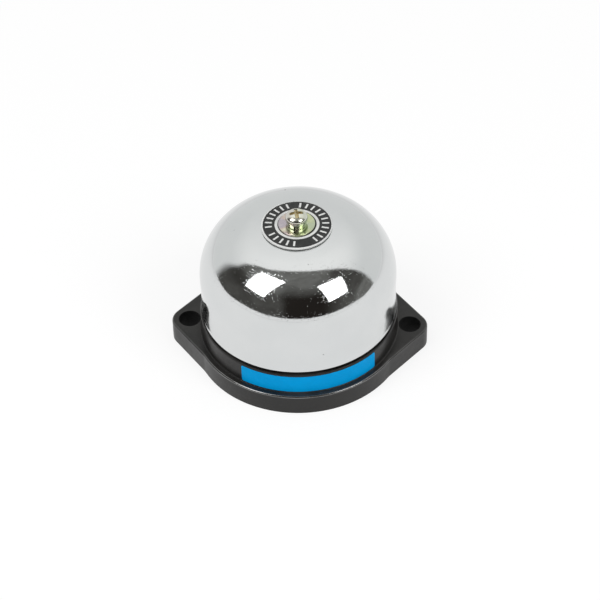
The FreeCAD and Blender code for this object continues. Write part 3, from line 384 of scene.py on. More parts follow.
plainSurfaces = {
    "blueFilm": {"first": (0.0007, 0.375, 0.83), "second": (0.0008, 0.405, 0.885), "marks": (70.0, 1.1, 0.71),
                 "mottle": ((330.0, 4.0, 0.6), (0.3, 0.7)), "rub": (0.45, (0.05, 0.50, 0.90)), "soft": 0.6,
                 "scale": 1500.0, "depth": 0.0000025, "rough": (0.34, 0.46), "shine": 0.04},
    "sheetWhite": {**film, "first": (0.76, 0.77, 0.76), "second": (0.84, 0.845, 0.83), "rough": (0.26, 0.38)},
    "ringInkAndShade": {**film, "first": (0.020, 0.021, 0.021), "second": (0.031, 0.032, 0.031), "rough": (0.30, 0.44),
                "shine": 0.3},
    "plainZinc": {**metal, "first": (0.56, 0.57, 0.58), "second": (0.68, 0.69, 0.70), "stain": (0.40, 0.41, 0.42),
                  "rough": (0.24, 0.42), "scale": 2600.0, "depth": 0.000004},
    "softIron": {**metal, "first": (0.40, 0.39, 0.38), "second": (0.53, 0.52, 0.51), "stain": (0.22, 0.17, 0.13),
                 "rough": (0.26, 0.46), "depth": 0.000004, "wear": 0.4},
    "springSteel": {**metal, "first": (0.45, 0.45, 0.46), "second": (0.62, 0.62, 0.63), "stain": (0.28, 0.25, 0.22),
                    "rough": (0.16, 0.30), "scale": 3800.0, "depth": 0.000002, "wear": 0.3},
    "drawnBrass": {**metal, "first": (0.72, 0.53, 0.24), "second": (0.82, 0.63, 0.31), "stain": (0.42, 0.28, 0.12),
                   "rough": (0.18, 0.34), "scale": 2400.0},
    "turnedBrass": {**metal, "first": (0.74, 0.56, 0.27), "second": (0.86, 0.68, 0.36), "stain": (0.46, 0.31, 0.14),
                    "rough": (0.14, 0.28)},
    "copperWire": {**metal, "first": (0.60, 0.235, 0.11), "second": (0.72, 0.31, 0.155), "stain": (0.38, 0.13, 0.06),
                   "rough": (0.16, 0.28), "wear": 0.1, "pitch": 0.00042, "bulge": 0.3, "seam": 0.45},
    "tinnedWire": {**metal, "first": (0.66, 0.66, 0.66), "second": (0.78, 0.78, 0.77), "stain": (0.44, 0.43, 0.42),
                   "rough": (0.22, 0.40), "depth": 0.000004, "wear": 0.2},
    "blackRubber": {**stuff, "first": (0.016, 0.016, 0.016), "second": (0.030, 0.029, 0.028), "rough": (0.55, 0.75),
                    "scale": 2200.0, "depth": 0.000008, "dust": 0.5},
    "bobbinNylon": {**stuff, "first": (0.60, 0.58, 0.50), "second": (0.70, 0.68, 0.60), "rough": (0.35, 0.5),
                    "scale": 1800.0},
    "leadInsulation": {**stuff, "first": (0.34, 0.020, 0.014), "second": (0.44, 0.030, 0.020),
                       "rough": (0.3, 0.42), "scale": 1500.0},
    "diodeBody": {**stuff, "first": (0.014, 0.014, 0.015), "second": (0.024, 0.024, 0.025), "rough": (0.28, 0.4),
                  "scale": 2600.0, "depth": 0.000003, "ring": (-0.0040, -0.0032, 0.00004, (0.62, 0.62, 0.60))},
    "sleeveFilm": {**stuff, "first": (0.62, 0.60, 0.54), "second": (0.72, 0.70, 0.64), "rough": (0.3, 0.45),
                   "scale": 1600.0, "depth": 0.000005},
    "coilTape": {**stuff, "first": (0.60, 0.40, 0.030), "second": (0.70, 0.48, 0.050), "rough": (0.22, 0.36),
                 "scale": 900.0, "depth": 0.000008}}


def makeSurface(name, look):
    shader, place = newFinish(name, Metallic=look.get("metallic", 0.0), Specular_IOR_Level=look.get("shine", 0.5))
    colour = mottled(place, look)
    grain = effect(fineGrain, place, look["scale"], look["soft"])
    roughness, relief = fade(grain["Tone"], 0.0, 1.0, *look["rough"]), grain["Height"]
    if "marks" in look:
        marks = effect(fineScratches, place, *look["marks"])["Mask"]
    if "rub" in look:
        colour = stained(colour, (marks, *look["rub"]))
    if "stain" in look:  # tarnished in spots, bright where its edges are rubbed
        spots = cloudy(place, *look["spots"])
        rubbed = effect(edgeWear, place, look["wearScale"], look["wear"])["Mask"]
        bright = tuple(min(1.0, part * look["brighter"]) for part in look["second"])
        colour = stained(colour, (spots, look["spotShare"], look["stain"]), (rubbed, 1.0, bright))
        roughness = roughened(roughness, (spots, marks), look["dulls"])
        relief = minus(relief, times(marks, look["markSink"]))
    normal = bump(relief, look["depth"])
    if "pitch" in look:  # turns of fine wire, side by side along the coil
        along = times(split(place)["X"], math.pi / look["pitch"])
        turns = calc("ABSOLUTE", calc("SINE", along))
        normal = bump(turns, look["pitch"] * look["bulge"], normal)
        colour = tint(fade(turns, look["seam"], 0.0), colour, look["stain"])
    if "ring" in look:  # pale, near one end
        start, end, soft, paint = look["ring"]
        along = split(place)["Y"]
        colour = tint(bothFades((along, start - soft, start), (along, end + soft, end)), colour, paint)
    if "dust" in look:
        dust = effect(settledDust, place, look["dustScale"], look["dust"])["Mask"]
        colour = stained(colour, (dust, look["dustShare"], look["dustColour"]))
    complete(shader, colour, roughness, normal)


makeChrome(chromePlating)
makeMoulding(blackMoulding, fixingHoles)
makeYellowZinc(yellowZinc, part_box("crown_screw")[1].z)
for name, look in plainSurfaces.items():
    makeSurface(name, look)
print("finishes made,", len(finishes))


# Pieces: an outline of (radius, along, corner radius) in mm, spun about its axis, or sections swept along a path.
cornerLimit = 0.46  # the most of an outline's side that one corner takes
onAxis = 1e-5  # a ring no wider than this is a single point


def roundedOutline(outline, steps=5):
    points = []
    for i, (radius, along, corner) in enumerate(outline):  # a corner of 0 stays sharp
        here = Vector((radius, along))
        before, after = Vector(outline[i - 1][:2]), Vector(outline[(i + 1) % len(outline)][:2])
        if corner <= 0.0:
            points.append(here)
            continue
        back, ahead = before - here, after - here
        half = back.angle(ahead) / 2
        reach = min(corner / math.tan(half), cornerLimit * min(back.length, ahead.length))
        start, end = here + back.normalized() * reach, here + ahead.normalized() * reach
        for step in range(steps + 1):
            t = step / steps
            points.append(start * (1 - t) ** 2 + here * 2 * t * (1 - t) + end * t ** 2)
    return points


def ringOutline(inner, outer, low, high, corners):
    return list(zip((inner, outer, outer, inner), (low, low, high, high), corners))


def arcPoints(centre, radius, first, last, steps):
    return [(centre[0] + radius * math.cos(first + (last - first) * i / steps),
             centre[1] + radius * math.sin(first + (last - first) * i / steps), 0.0)
            for i in range(steps + 1)]


def newPiece(name, mesh):
    piece = bpy.data.objects.new(name, mesh)
    scene.collection.objects.link(piece)
    return piece


def smoothFaces(mesh, sharpAngle=38.0):
    mesh.polygons.foreach_set("use_smooth", [True] * len(mesh.polygons))
    mesh.set_sharp_from_angle(angle=math.radians(sharpAngle))


def settle(piece):
    bpy.context.view_layer.update()
    graph = bpy.context.evaluated_depsgraph_get()
    mesh = bpy.data.meshes.new_from_object(piece.evaluated_get(graph), preserve_all_data_layers=True,
                                           depsgraph=graph)
    piece.modifiers.clear()
    piece.data = mesh
    return piece


def evenNormals(piece, mode="FACE_AREA"):
    weighted = piece.modifiers.new("evenNormals", "WEIGHTED_NORMAL")
    weighted.mode, weighted.keep_sharp = mode, True
    return settle(piece)


def release(shell, mesh):
    shell.to_mesh(mesh)
    shell.free()
    return mesh


def closeShell(name, shell, place=Matrix.Identity(4)):
    bmesh.ops.recalc_face_normals(shell, faces=shell.faces)
    bmesh.ops.transform(shell, matrix=place, verts=shell.verts)
    mesh = release(shell, bpy.data.meshes.new(name))
    smoothFaces(mesh)
    return newPiece(name, mesh)


def around(radius, angle, along):
    return radius * mm * math.cos(angle), radius * mm * math.sin(angle), along * mm


def spin(name, points, segments, place=Matrix.Identity(4)):
    shell = bmesh.new()
    rings = []
    for radius, along in points:
        angles = [2 * math.pi * k / segments for k in range(segments)] if radius > onAxis else [0.0]
        rings.append([shell.verts.new(around(radius, angle, along)) for angle in angles])
    for first, second in zip(rings, rings[1:] + rings[:1]):
        if len(first) == 1 and len(second) == 1:
            continue
        for k in range(segments):
            n = (k + 1) % segments
            corners = dict.fromkeys([first[k % len(first)], first[n % len(first)],
                                     second[n % len(second)], second[k % len(second)]])
            shell.faces.new(list(corners))
    return closeShell(name, shell, place)


def turnedPiece(name, outline, segments=96, place=Matrix.Identity(4)):
    return evenNormals(spin(name, roundedOutline(outline), segments, place))


def sweptPiece(name, sections, place=Matrix.Identity(4)):
    shell = bmesh.new()
    rings = [[shell.verts.new(point) for point in section] for section in sections]
    for first, second in zip(rings, rings[1:]):
        for k in range(len(first)):
            n = (k + 1) % len(first)
            shell.faces.new((first[k], first[n], second[n], second[k]))
    shell.faces.new(rings[0])
    shell.faces.new(rings[-1])
    return evenNormals(closeShell(name, shell, place))


def finish(piece, finishName, slotName, *replaced):
    piece.data.materials.clear()
    piece.data.materials.append(finishes[finishName])
    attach(piece, "bell")
    if replaced:
        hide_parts(*replaced)


# Gong: spun steel cup, its crown nearly flat, its skirt slightly waisted outside above a faint lip.
gongShape = {"radius": 27.5, "wall": 1.0, "rim": 13.82, "height": 29.11, "shoulder": 16.6,
             "crown": 120.0, "hole": 2.0, "rimRound": 0.2, "lip": 0.1, "lipHeight": 0.9, "waist": 0.12,
             "skirtRows": 24, "rowPower": 1.7, "shoulderSteps": 56, "crownSteps": 14, "cornerSteps": 4,
             "segments": 224}


def makeGong(shape):
    apex = shape["rim"] + shape["height"]
    crownCentre = apex - shape["crown"]
    sideways = shape["radius"] - shape["shoulder"]
    reach = shape["crown"] - shape["shoulder"]
    shoulderHeight = crownCentre + math.sqrt(reach ** 2 - sideways ** 2)
    meeting = math.atan2(shoulderHeight - crownCentre, sideways)
    depth = shoulderHeight - shape["rim"]

    def skirt(inset, shaped):
        rows = []
        for step in range(shape["skirtRows"]):
            rise = depth * (step / shape["skirtRows"]) ** shape["rowPower"]
            flare = shape["lip"] * max(0.0, 1.0 - rise / shape["lipHeight"]) ** 2
            waist = shape["waist"] * math.sin(math.pi * rise / depth) ** 2
            fillet = shape["rimRound"] if step == 0 else 0.0
            inward = shaped * (shape["lip"] + waist - flare)
            rows.append((shape["radius"] - inset - inward, shape["rim"] + rise, fillet))
        return rows

    outline = []
    for inset, order, shaped in ((0.0, 1, 1.0), (shape["wall"], -1, 0.0)):  # straight inside, where the hammer comes
        lastAngle = math.acos(shape["hole"] / (shape["crown"] - inset))
        arc = arcPoints((sideways - shaped * shape["lip"], shoulderHeight), shape["shoulder"] - inset,
                        0.0, meeting, shape["shoulderSteps"])
        arc += arcPoints((0.0, crownCentre), shape["crown"] - inset, meeting, lastAngle, shape["crownSteps"])[1:]
        outline += (skirt(inset, shaped) + arc)[::order]
    return evenNormals(spin("gongShell", roundedOutline(outline, shape["cornerSteps"]), shape["segments"]))


finish(makeGong(gongShape), "chromePlating", "chrome", "gong")
print("gong spun")


# Ring disc on the crown, with a dark printed band, plain tick marks, and a dark ring at the washer's edge painted as
# shade.
ringDisc = {"radius": 9.75, "hole": 2.0, "bottom": 42.91, "top": 43.31, "edge": 0.07, "flat": 5.6, "droop": 0.13,
            "bandInner": 6.15, "bandOuter": 9.40, "shadeRingInner": 2.4, "shadeRingOuter": 5.36, "offset": (0.09, 0.17),
            "inkThickness": 0.012, "inkDepth": 0.02, "tickRadius": 7.85, "tickLength": 1.9, "tickWidth": 0.55,
            "tickGroups": ((42.0, 177.0, 11), (203.0, 280.0, 7), (303.0, 358.0, 5)),  # first and last angle, count
            "inkEdge": 0.004, "holeEdge": 0.03, "segments": 160}


def newShapeTree(name, inputs):
    tree = bpy.data.node_groups.new(name, "GeometryNodeTree")
    tree.interface.new_socket("Geometry", in_out="OUTPUT", socket_type="NodeSocketGeometry")
    for kind, labels in {"Geometry": ("Geometry",), **inputs, "Material": ("Finish",)}.items():
        for label in labels:
            tree.interface.new_socket(label, in_out="INPUT", socket_type="NodeSocket" + kind)
    return tree, *groupEnds(tree)


def closeShapeTree(tree, given, made, last):
    real = addNode("GeometryNodeRealizeInstances", {"Geometry": last[0]})
    coated = addNode("GeometryNodeSetMaterial", {"Geometry": real[0], "Material": given["Finish"]})
    plug(made["Geometry"], coated[0])
    return tree


def spiral(turns, radius, height, steps):
    return addNode("GeometryNodeCurveSpiral", {
        "Resolution": steps, "Rotations": turns, "Start Radius": radius, "End Radius": radius, "Height": height})


def wireAlong(curve, radius, sides):
    circle = addNode("GeometryNodeCurvePrimitiveCircle", {"Resolution": sides, "Radius": radius}, mode="RADIUS")
    return addNode("GeometryNodeCurveToMesh", {"Curve": curve[0], "Profile Curve": circle[0], "Fill Caps": True})


def grow(name, tree, finishName, amounts, mesh=None):
    piece = newPiece(name, mesh or bpy.data.meshes.new(name))
    modifier = piece.modifiers.new("grow", "NODES")
    modifier.node_group = tree
    sockets = {item.name: item.identifier for item in tree.interface.items_tree
               if item.item_type == "SOCKET" and item.in_out == "INPUT"}
    for label, amount in {**amounts, "Finish": finishes[finishName]}.items():
        modifier[sockets[label]] = amount
    settle(piece)
    piece.data.name = name
    return piece


def makeTickTree():
    tree, given, made = newShapeTree("tickMarks", {
        "Float": ("Radius", "Length", "Width", "Thickness", "First Angle", "Step"), "Int": ("Count",),
        "Vector": ("Centre",)})
    index = addNode("GeometryNodeInputIndex", tree=tree)[0]
    angle = timesPlus(index, given["Step"], given["First Angle"])
    spot = vector(times(calc("SINE", angle), given["Radius"]),
                  times(calc("COSINE", angle), times(given["Radius"], -1.0)))
    points = addNode("GeometryNodeMeshLine", {"Count": given["Count"]})
    placed = addNode("GeometryNodeSetPosition", {
        "Geometry": points["Mesh"], "Position": spot, "Offset": given["Centre"]})
    bar = addNode("GeometryNodeMeshCube", {"Size": vector(given["Width"], given["Length"], given["Thickness"])})
    marks = addNode("GeometryNodeInstanceOnPoints", {
        "Points": placed[0], "Instance": bar["Mesh"], "Rotation": vector(z=angle)})
    return closeShapeTree(tree, given, made, marks)


def droopRim(piece, disc):  # outside the washer the sheet leans down on the crown's curve
    for vertex in piece.data.vertices:
        beyond = (math.hypot(vertex.co.x, vertex.co.y) / mm - disc["flat"]) / (disc["radius"] - disc["flat"])
        vertex.co.z -= max(0.0, beyond) * disc["droop"] * mm
    return piece


def makeRingDisc(disc):
    sheet = turnedPiece("ringDisc", [
        (disc["hole"], disc["bottom"], disc["holeEdge"]), (disc["flat"], disc["bottom"], 0.0),
        (disc["radius"], disc["bottom"], disc["edge"]), (disc["radius"], disc["top"], disc["edge"]),
        (disc["flat"], disc["top"], 0.0), (disc["hole"], disc["top"], disc["holeEdge"])], disc["segments"])
    finish(droopRim(sheet, disc), "sheetWhite", "printed_disc", "name_disc")
    across, back = (part * mm for part in disc["offset"])
    low, high = disc["top"] - disc["inkDepth"], disc["top"] + disc["inkThickness"]
    # The inner dark ring lies mostly under the washer; its rim shows as a thin dark line round the washer, painted
    # shade.
    for name, inner, outer in (("ringDiscBand", disc["bandInner"], disc["bandOuter"]),
                               ("ringDiscShadeRing", disc["shadeRingInner"], disc["shadeRingOuter"])):
        outline = ringOutline(inner, outer, low, high, (0.0, 0.0, disc["inkEdge"], disc["inkEdge"]))
        band = turnedPiece(name, outline, disc["segments"], Matrix.Translation((across, back, 0.0)))
        finish(droopRim(band, disc), "ringInkAndShade", "printed_disc")
    tickTree = makeTickTree()
    for number, (first, last, count) in enumerate(disc["tickGroups"], 1):
        ticks = grow("ringDiscTicks%d" % number, tickTree, "sheetWhite", {
            "Radius": disc["tickRadius"] * mm, "Length": disc["tickLength"] * mm,
            "Width": disc["tickWidth"] * mm, "Thickness": disc["inkDepth"] * mm,
            "First Angle": math.radians(first), "Step": math.radians((last - first) / (count - 1)),
            "Count": count, "Centre": (across, back, high * mm)})
        finish(droopRim(ticks, disc), "sheetWhite", "printed_disc")


makeRingDisc(ringDisc)
print("ring disc printed")


# Crown stack: flat washer, split lock washer, narrow washer and pan head screw.
crownStack = {"washerRadius": 5.05, "bore": 1.65, "lockRadius": 2.75, "split": 0.35, "slope": 0.16, "lockSteps": 72,
              "lockTurn": -9.0, "narrowRadius": 3.05, "screwTurn": -6.0, "aboveInk": 0.003,
              "washerSegments": 128, "lockCornerSteps": 3, "washerCorners": (0.05, 0.1, 0.16, 0.08),
              "lockCorners": (0.05, 0.08, 0.08, 0.05), "narrowCorners": (0.05, 0.08, 0.12, 0.05)}
crownStack["washerBottom"] = ringDisc["top"] + ringDisc["inkThickness"] + crownStack["aboveInk"]
for level, nodeName in (("washerTop", "crown_flat_washer"), ("lockTop", "crown_lock_washer"),
                        ("headBottom", "crown_narrow_washer")):
    crownStack[level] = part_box(nodeName)[1].z / mm
smallScrew = {"headRadius": 2.75, "headHeight": 1.9, "side": 0.55, "fullness": 2.6, "shankRadius": 1.5,
              "recessReach": 1.6, "recessWidth": 0.88, "recessDepth": 1.45, "slot": None,
              "threadInset": 0.13, "threadFrom": 0.25}
screwShapes = {
    "crown": {"headRadius": 3.05, "headHeight": 1.88, "side": 0.16, "fullness": 2.15, "shankRadius": 1.5,
              "shankLength": 15.14, "recessReach": 2.4, "recessWidth": 1.15, "recessDepth": 1.2, "slot": None,
              "threadInset": 0.12, "threadFrom": 0.4, "turns": 22.0},
    "small": smallScrew,
    "terminal": {**smallScrew, "fullness": 2.9, "recessDepth": 1.35,
                 "slot": {"halfWidth": 0.36, "past": 0.5, "depth": 0.75}}}
screwForm = {"pitch": 0.5, "panSteps": 26, "segments": 96, "edge": 0.05, "edgeAngle": 40.0, "pointInset": 0.15,
             "pointRise": 0.25, "recessAbove": 0.4, "recessTaper": ((0.42, 0.62), (1.12, 1.06)), "smallest": 0.002,
             "corners": (0.1, 0.05, 0.05, 0.12), "edgeSegments": 2, "threadSteps": 28, "threadSides": 4,
             "ridge": 0.36, "firstTurn": 0.3, "nextTurn": 0.9, "headGap": 0.01, "threadEnds": 0.6}


def makeLockWasher(name, stack, place):
    gap = stack["split"] / stack["lockRadius"]
    inner, outer = stack["bore"], stack["lockRadius"]
    height = stack["lockTop"] - stack["washerTop"] - stack["slope"]
    section = roundedOutline(ringOutline(inner, outer, 0.0, height, stack["lockCorners"]), stack["lockCornerSteps"])
    sections = []
    for k in range(stack["lockSteps"] + 1):
        share = k / stack["lockSteps"]
        angle = -math.pi / 2 + gap / 2 + (2 * math.pi - gap) * share
        rise = stack["washerTop"] + stack["slope"] * share
        sections.append([around(radius, angle, along + rise) for radius, along in section])
    return sweptPiece(name, sections, place)


def addBlock(shell, turn, levels):  # each level is a height, half a length and half a width
    made = [shell.verts.new(Matrix.Rotation(turn, 4, "Z") @ (Vector((x * long, y * wide, z)) * mm))
            for z, long, wide in levels for x, y in ((-1, -1), (1, -1), (1, 1), (-1, 1))]
    for face in ((0, 1, 2, 3), (7, 6, 5, 4), (0, 4, 5, 1), (1, 5, 6, 2), (2, 6, 7, 3), (3, 7, 4, 0)):
        shell.faces.new([made[k] for k in face])


def recessCutter(shape, turn):
    cutter = bmesh.new()
    top, bottom = shape["headHeight"] + screwForm["recessAbove"], shape["headHeight"] - shape["recessDepth"]
    reach, width = shape["recessReach"], shape["recessWidth"] / 2
    for angle in (0.0, math.pi / 2):
        addBlock(cutter, angle + turn, [(height, reach * long, width * wide) for height, (long, wide) in
                                        zip((bottom, top), screwForm["recessTaper"])])
    slot = shape["slot"]
    if slot:
        addBlock(cutter, turn, [(height, shape["headRadius"] + slot["past"], slot["halfWidth"])
                                for height in (shape["headHeight"] - slot["depth"], top)])
    return closeShell("recessCutter", cutter)


def makeBlank(name, shape, turn):
    radius, side, shank, foot = shape["headRadius"], shape["side"], shape["shankRadius"], -shape["shankLength"]
    steps, power = screwForm["panSteps"], 2 / shape["fullness"]
    point, start, neck, rim = screwForm["corners"]
    outline = [(0.0, foot, 0.0), (shank - screwForm["pointInset"], foot, point),
               (shank, foot + screwForm["pointRise"], start), (shank, 0.0, neck), (radius, 0.0, rim)]
    for step in range(steps + 1):  # the pan: full at the shoulder, nearly flat on top
        angle = math.pi / 2 * step / steps
        outline.append((radius * max(0.0, math.cos(angle)) ** power * (step < steps),
                        side + (shape["headHeight"] - side) * math.sin(angle) ** power, 0.0))
    piece = spin(name, roundedOutline(outline), screwForm["segments"])
    cutter = recessCutter(shape, turn)
    cut = piece.modifiers.new("recess", "BOOLEAN")
    cut.operation, cut.object, cut.solver, cut.use_self = "DIFFERENCE", cutter, "EXACT", True
    softened = piece.modifiers.new("softEdges", "BEVEL")
    softened.width, softened.segments = screwForm["edge"] * mm, screwForm["edgeSegments"]
    softened.limit_method, softened.angle_limit = "ANGLE", math.radians(screwForm["edgeAngle"])
    settle(piece)
    bpy.data.objects.remove(cutter)
    shell = bmesh.new()
    shell.from_mesh(piece.data)
    bmesh.ops.dissolve_degenerate(shell, dist=screwForm["smallest"] * mm, edges=shell.edges)
    smoothFaces(release(shell, piece.data))
    return evenNormals(piece)


def makeThreadTree(form):
    tree, given, made = newShapeTree("threadedSet", {
        "Float": ("Thread Radius", "Pitch", "Turns", "Bottom", "Spacing", "Flip"), "Int": ("Count",),
        "Vector": ("Place",)})
    line = spiral(given["Turns"], given["Thread Radius"], times(given["Turns"], given["Pitch"]), form["threadSteps"])
    thread = wireAlong(line, times(given["Pitch"], form["ridge"]), form["threadSides"])
    lifted = addNode("GeometryNodeTransform", {"Geometry": thread[0], "Translation": vector(z=given["Bottom"])})
    joined = tree.nodes.new("GeometryNodeJoinGeometry")
    for source in (lifted[0], given["Geometry"]):
        plug(joined.inputs[0], source)
    points = addNode("GeometryNodeMeshLine", {
        "Count": given["Count"], "Start Location": vector(times(given["Spacing"], -0.5)),
        "Offset": vector(given["Spacing"])})
    placed = addNode("GeometryNodeSetPosition", {"Geometry": points[0], "Offset": given["Place"]})
    index = addNode("GeometryNodeInputIndex", tree=tree)[0]
    turned = vector(given["Flip"], z=timesPlus(index, form["nextTurn"], form["firstTurn"]))
    screws = addNode("GeometryNodeInstanceOnPoints", {
        "Points": placed[0], "Instance": joined.outputs[0], "Rotation": turned})
    return closeShapeTree(tree, given, made, screws)


threadTree = makeThreadTree(screwForm)


def makeScrews(name, shape, finishName, place, turn=0.0, spacing=0.0, count=1, flip=0.0):
    blank = makeBlank(name + "Blank", shape, turn)
    screws = grow(name, threadTree, finishName, {
        "Thread Radius": (shape["shankRadius"] - shape["threadInset"]) * mm, "Pitch": screwForm["pitch"] * mm,
        "Turns": shape["turns"], "Bottom": (shape["threadFrom"] - shape["shankLength"]) * mm,
        "Spacing": spacing, "Count": count, "Place": place, "Flip": flip}, blank.data)
    bpy.data.objects.remove(blank)
    return screws


def makeCrownStack(stack):
    bore, bottom, washerTop, lockTop, headBottom = (
        stack[name] for name in ("bore", "washerBottom", "washerTop", "lockTop", "headBottom"))
    washer = turnedPiece("crownWasher", ringOutline(
        bore, stack["washerRadius"], bottom, washerTop, stack["washerCorners"]), stack["washerSegments"])
    lock = makeLockWasher("crownLockWasher", stack, Matrix.Rotation(math.radians(stack["lockTurn"]), 4, "Z"))
    narrow = turnedPiece("crownNarrowWasher", ringOutline(
        bore, stack["narrowRadius"], lockTop, headBottom, stack["narrowCorners"]))
    screw = makeScrews("crownScrew", screwShapes["crown"], "yellowZinc", (0.0, 0.0, headBottom * mm),
                       math.radians(stack["screwTurn"]))
    for piece, nodeName in ((washer, "crown_flat_washer"), (lock, "crown_lock_washer"),
                            (narrow, "crown_narrow_washer"), (screw, "crown_screw")):
        finish(piece, "yellowZinc", "zinc_yellow", nodeName)


makeCrownStack(crownStack)
print("crown stack seated")


# Base: the moulded body, its arrises taken off and its flange edge rubbed smooth.
baseEdges = {"node": "base_moulding", "arris": 0.15, "segments": 2, "sharpAngle": 50.0, "flangeTop": 6.3,
             "flangeRound": 0.5, "flangeInner": 28.9, "earStart": 20.0, "earFade": 7.0, "earDull": 0.65,
             "lean": (0.06, 0.99), "margins": (0.05, 0.02), "weld": 0.001, "flatAngle": 0.05, "underside": 0.05,
             "arcs": ((28.3, 6.7, 0.4, -1.0), (29.3, 5.8, 0.5, 1.0)),  # ring radius, height, arc radius, side
             "arcNear": 0.03, "arcPast": -0.02, "arcFacing": 0.9, "smoothAngle": 30.0}


def nearHole(point):
    return math.hypot(abs(point.x) - fixingHoles["along"], point.y) < fixingHoles["surround"]


def rubbedAmount(face, edges):  # the rounded upper edge of the flange, less so on the ears
    middle = face.center / mm
    steep, flat = edges["lean"]
    under, over = edges["margins"]
    leaning = steep < face.normal.z < flat
    atEdge = edges["flangeTop"] - edges["flangeRound"] - under < middle.z < edges["flangeTop"] + over
    outside = math.hypot(middle.x, middle.y) > edges["flangeInner"]
    onEar = min(1.0, max(0.0, (abs(middle.x) - edges["earStart"]) / edges["earFade"]))
    return float(leaning and atEdge and outside and not nearHole(middle)) * (1.0 - edges["earDull"] * onEar)


def setArcNormals(piece, edges):  # the ring blends shade as true arcs
    mesh = piece.data
    normals = [Vector(corner.vector) for corner in mesh.corner_normals]
    for face in mesh.polygons:
        for loop in face.loop_indices:
            point = mesh.vertices[mesh.loops[loop].vertex_index].co / mm
            ring = math.hypot(point.x, point.y)
            for reach, along, radius, side in edges["arcs"]:
                away = Vector((ring - reach, point.z - along)) * side
                if abs(away.length - radius) > edges["arcNear"] or min(away) < edges["arcPast"]:
                    continue
                lean = away.normalized()
                outward = Vector((lean.x * point.x / ring, lean.x * point.y / ring, lean.y))
                if outward.dot(face.normal) > edges["arcFacing"]:
                    normals[loop] = outward
    mesh.normals_split_custom_set(normals)
    return piece


def makeTrimmedCopy(name, edges):
    shell = bmesh.new()
    shell.from_mesh(nodes[edges["node"]].data)
    bmesh.ops.remove_doubles(shell, verts=shell.verts, dist=edges["weld"] * mm)
    bmesh.ops.dissolve_limit(shell, angle_limit=math.radians(edges["flatAngle"]), verts=shell.verts,
                             edges=shell.edges, use_dissolve_boundaries=False)
    share = shell.edges.layers.float.new("bevel_weight_edge")
    sharpest = math.radians(edges["sharpAngle"])
    for edge in shell.edges:
        if not edge.is_manifold or not edge.is_convex or edge.calc_face_angle(0.0) < sharpest:
            continue
        middle = (edge.verts[0].co + edge.verts[1].co) / 2 / mm
        # The fixing holes stay crisp underneath.
        edge[share] = 0.0 if nearHole(middle) and middle.z < edges["underside"] else 1.0
    piece = newPiece(name, release(shell, bpy.data.meshes.new(name)))
    trimming = piece.modifiers.new("arrises", "BEVEL")
    trimming.width, trimming.segments, trimming.limit_method = edges["arris"] * mm, edges["segments"], "WEIGHT"
    settle(piece)
    rubbed = piece.data.attributes.new("rubbed", "FLOAT", "FACE")
    rubbed.data.foreach_set("value", [rubbedAmount(face, edges) for face in piece.data.polygons])
    smoothFaces(piece.data, edges["smoothAngle"])
    return setArcNormals(evenNormals(piece, "FACE_AREA_WITH_ANGLE"), edges)


finish(makeTrimmedCopy("baseBody", baseEdges), "blackMoulding", "black_plastic", baseEdges["node"])
print("base trimmed")


# Label: a film bent round the collar, its corners a little rounded.
labelStrip = {"collar": 27.9, "under": 0.013, "shoulder": 0.08, "thickness": 0.1, "lean": 0.03, "left": -31.25,
              "right": 51.6, "bottom": 6.62, "top": 12.26, "corner": 0.35, "cornerSteps": 5, "columns": 96}


def makeLabel(strip):
    collar, corner, steps, columns = (strip[name] for name in ("collar", "corner", "cornerSteps", "columns"))
    length = math.radians(strip["right"] - strip["left"]) * collar
    places = sorted({0.0, length} | {corner * k / steps for k in range(steps + 1)}
                    | {length - corner * k / steps for k in range(steps + 1)}
                    | {length * k / columns for k in range(columns + 1)})
    sections = []
    for place in places:
        short = max(0.0, corner - min(place, length - place))
        inset = corner - math.sqrt(corner ** 2 - short ** 2)
        low, high = strip["bottom"] + inset, strip["top"] - inset
        angle = math.radians(strip["left"] - 90) + place / collar
        sections.append([around(collar + rise, angle, along) for rise, along in (
            (strip["under"], low), (strip["shoulder"], low), (strip["thickness"], low + strip["lean"]),
            (strip["thickness"], high - strip["lean"]), (strip["shoulder"], high), (strip["under"], high))])
    return sweptPiece("collarLabel", sections)


finish(makeLabel(labelStrip), "blueFilm", "blue_label", "side_label")
print("label laid on the collar")


# CAD nodes that keep their own shape and get their finish here.
nodeFinishes = {
    "blackRubber": ("cushion_washer", "bumper_washer"),
    "plainZinc": ("centre_pillar", "pillar_washer", "pillar_nut", "solenoid_yoke", "yoke_lock_washers"),
    "bobbinNylon": ("coil_bobbin",), "coilTape": ("coil_tape",), "copperWire": ("coil_winding",),
    "drawnBrass": ("guide_tube", "terminal_plates", "terminal_clamps"), "softIron": ("fixed_pole", "plunger"),
    "springSteel": ("push_rod", "retaining_clip"), "turnedBrass": ("hammer",), "diodeBody": ("diode",),
    "tinnedWire": ("diode_leads",), "sleeveFilm": ("splice_sleeve",),
    "leadInsulation": ("coil_lead_left", "coil_lead_right")}
for finishName, nodeNames in nodeFinishes.items():
    for slot in (slot for nodeName in nodeNames for slot in nodes[nodeName].material_slots):
        slot.material = finishes[finishName]
print("CAD nodes finished,", sum(len(nodeNames) for nodeNames in nodeFinishes.values()))


# Screws below the deck: one shape for each pair, head down at the height given by under.
lowerScrews = {
    "yokeScrews": {"shape": "small", "node": "yoke_screws", "under": 10.2, "finish": "plainZinc",
                   "slot": "zinc_plain"},
    "terminalScrews": {"shape": "terminal", "node": "terminal_screws", "under": 4.1, "finish": "turnedBrass",
                       "slot": "brass"}}
for name, screws in lowerScrews.items():
    low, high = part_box(screws["node"])
    length = high.z / mm - screws["under"] - screwForm["headGap"]
    shape = {**screwShapes[screws["shape"]], "shankLength": length,
             "turns": (length - screwForm["threadEnds"]) / screwForm["pitch"]}
    pair = makeScrews(name, shape, screws["finish"], (0.0, (low.y + high.y) / 2, screws["under"] * mm),
                      spacing=high.x - low.x - 2 * shape["headRadius"] * mm, count=2, flip=math.pi)
    finish(pair, screws["finish"], screws["slot"], screws["node"])
print("screws below the deck set")
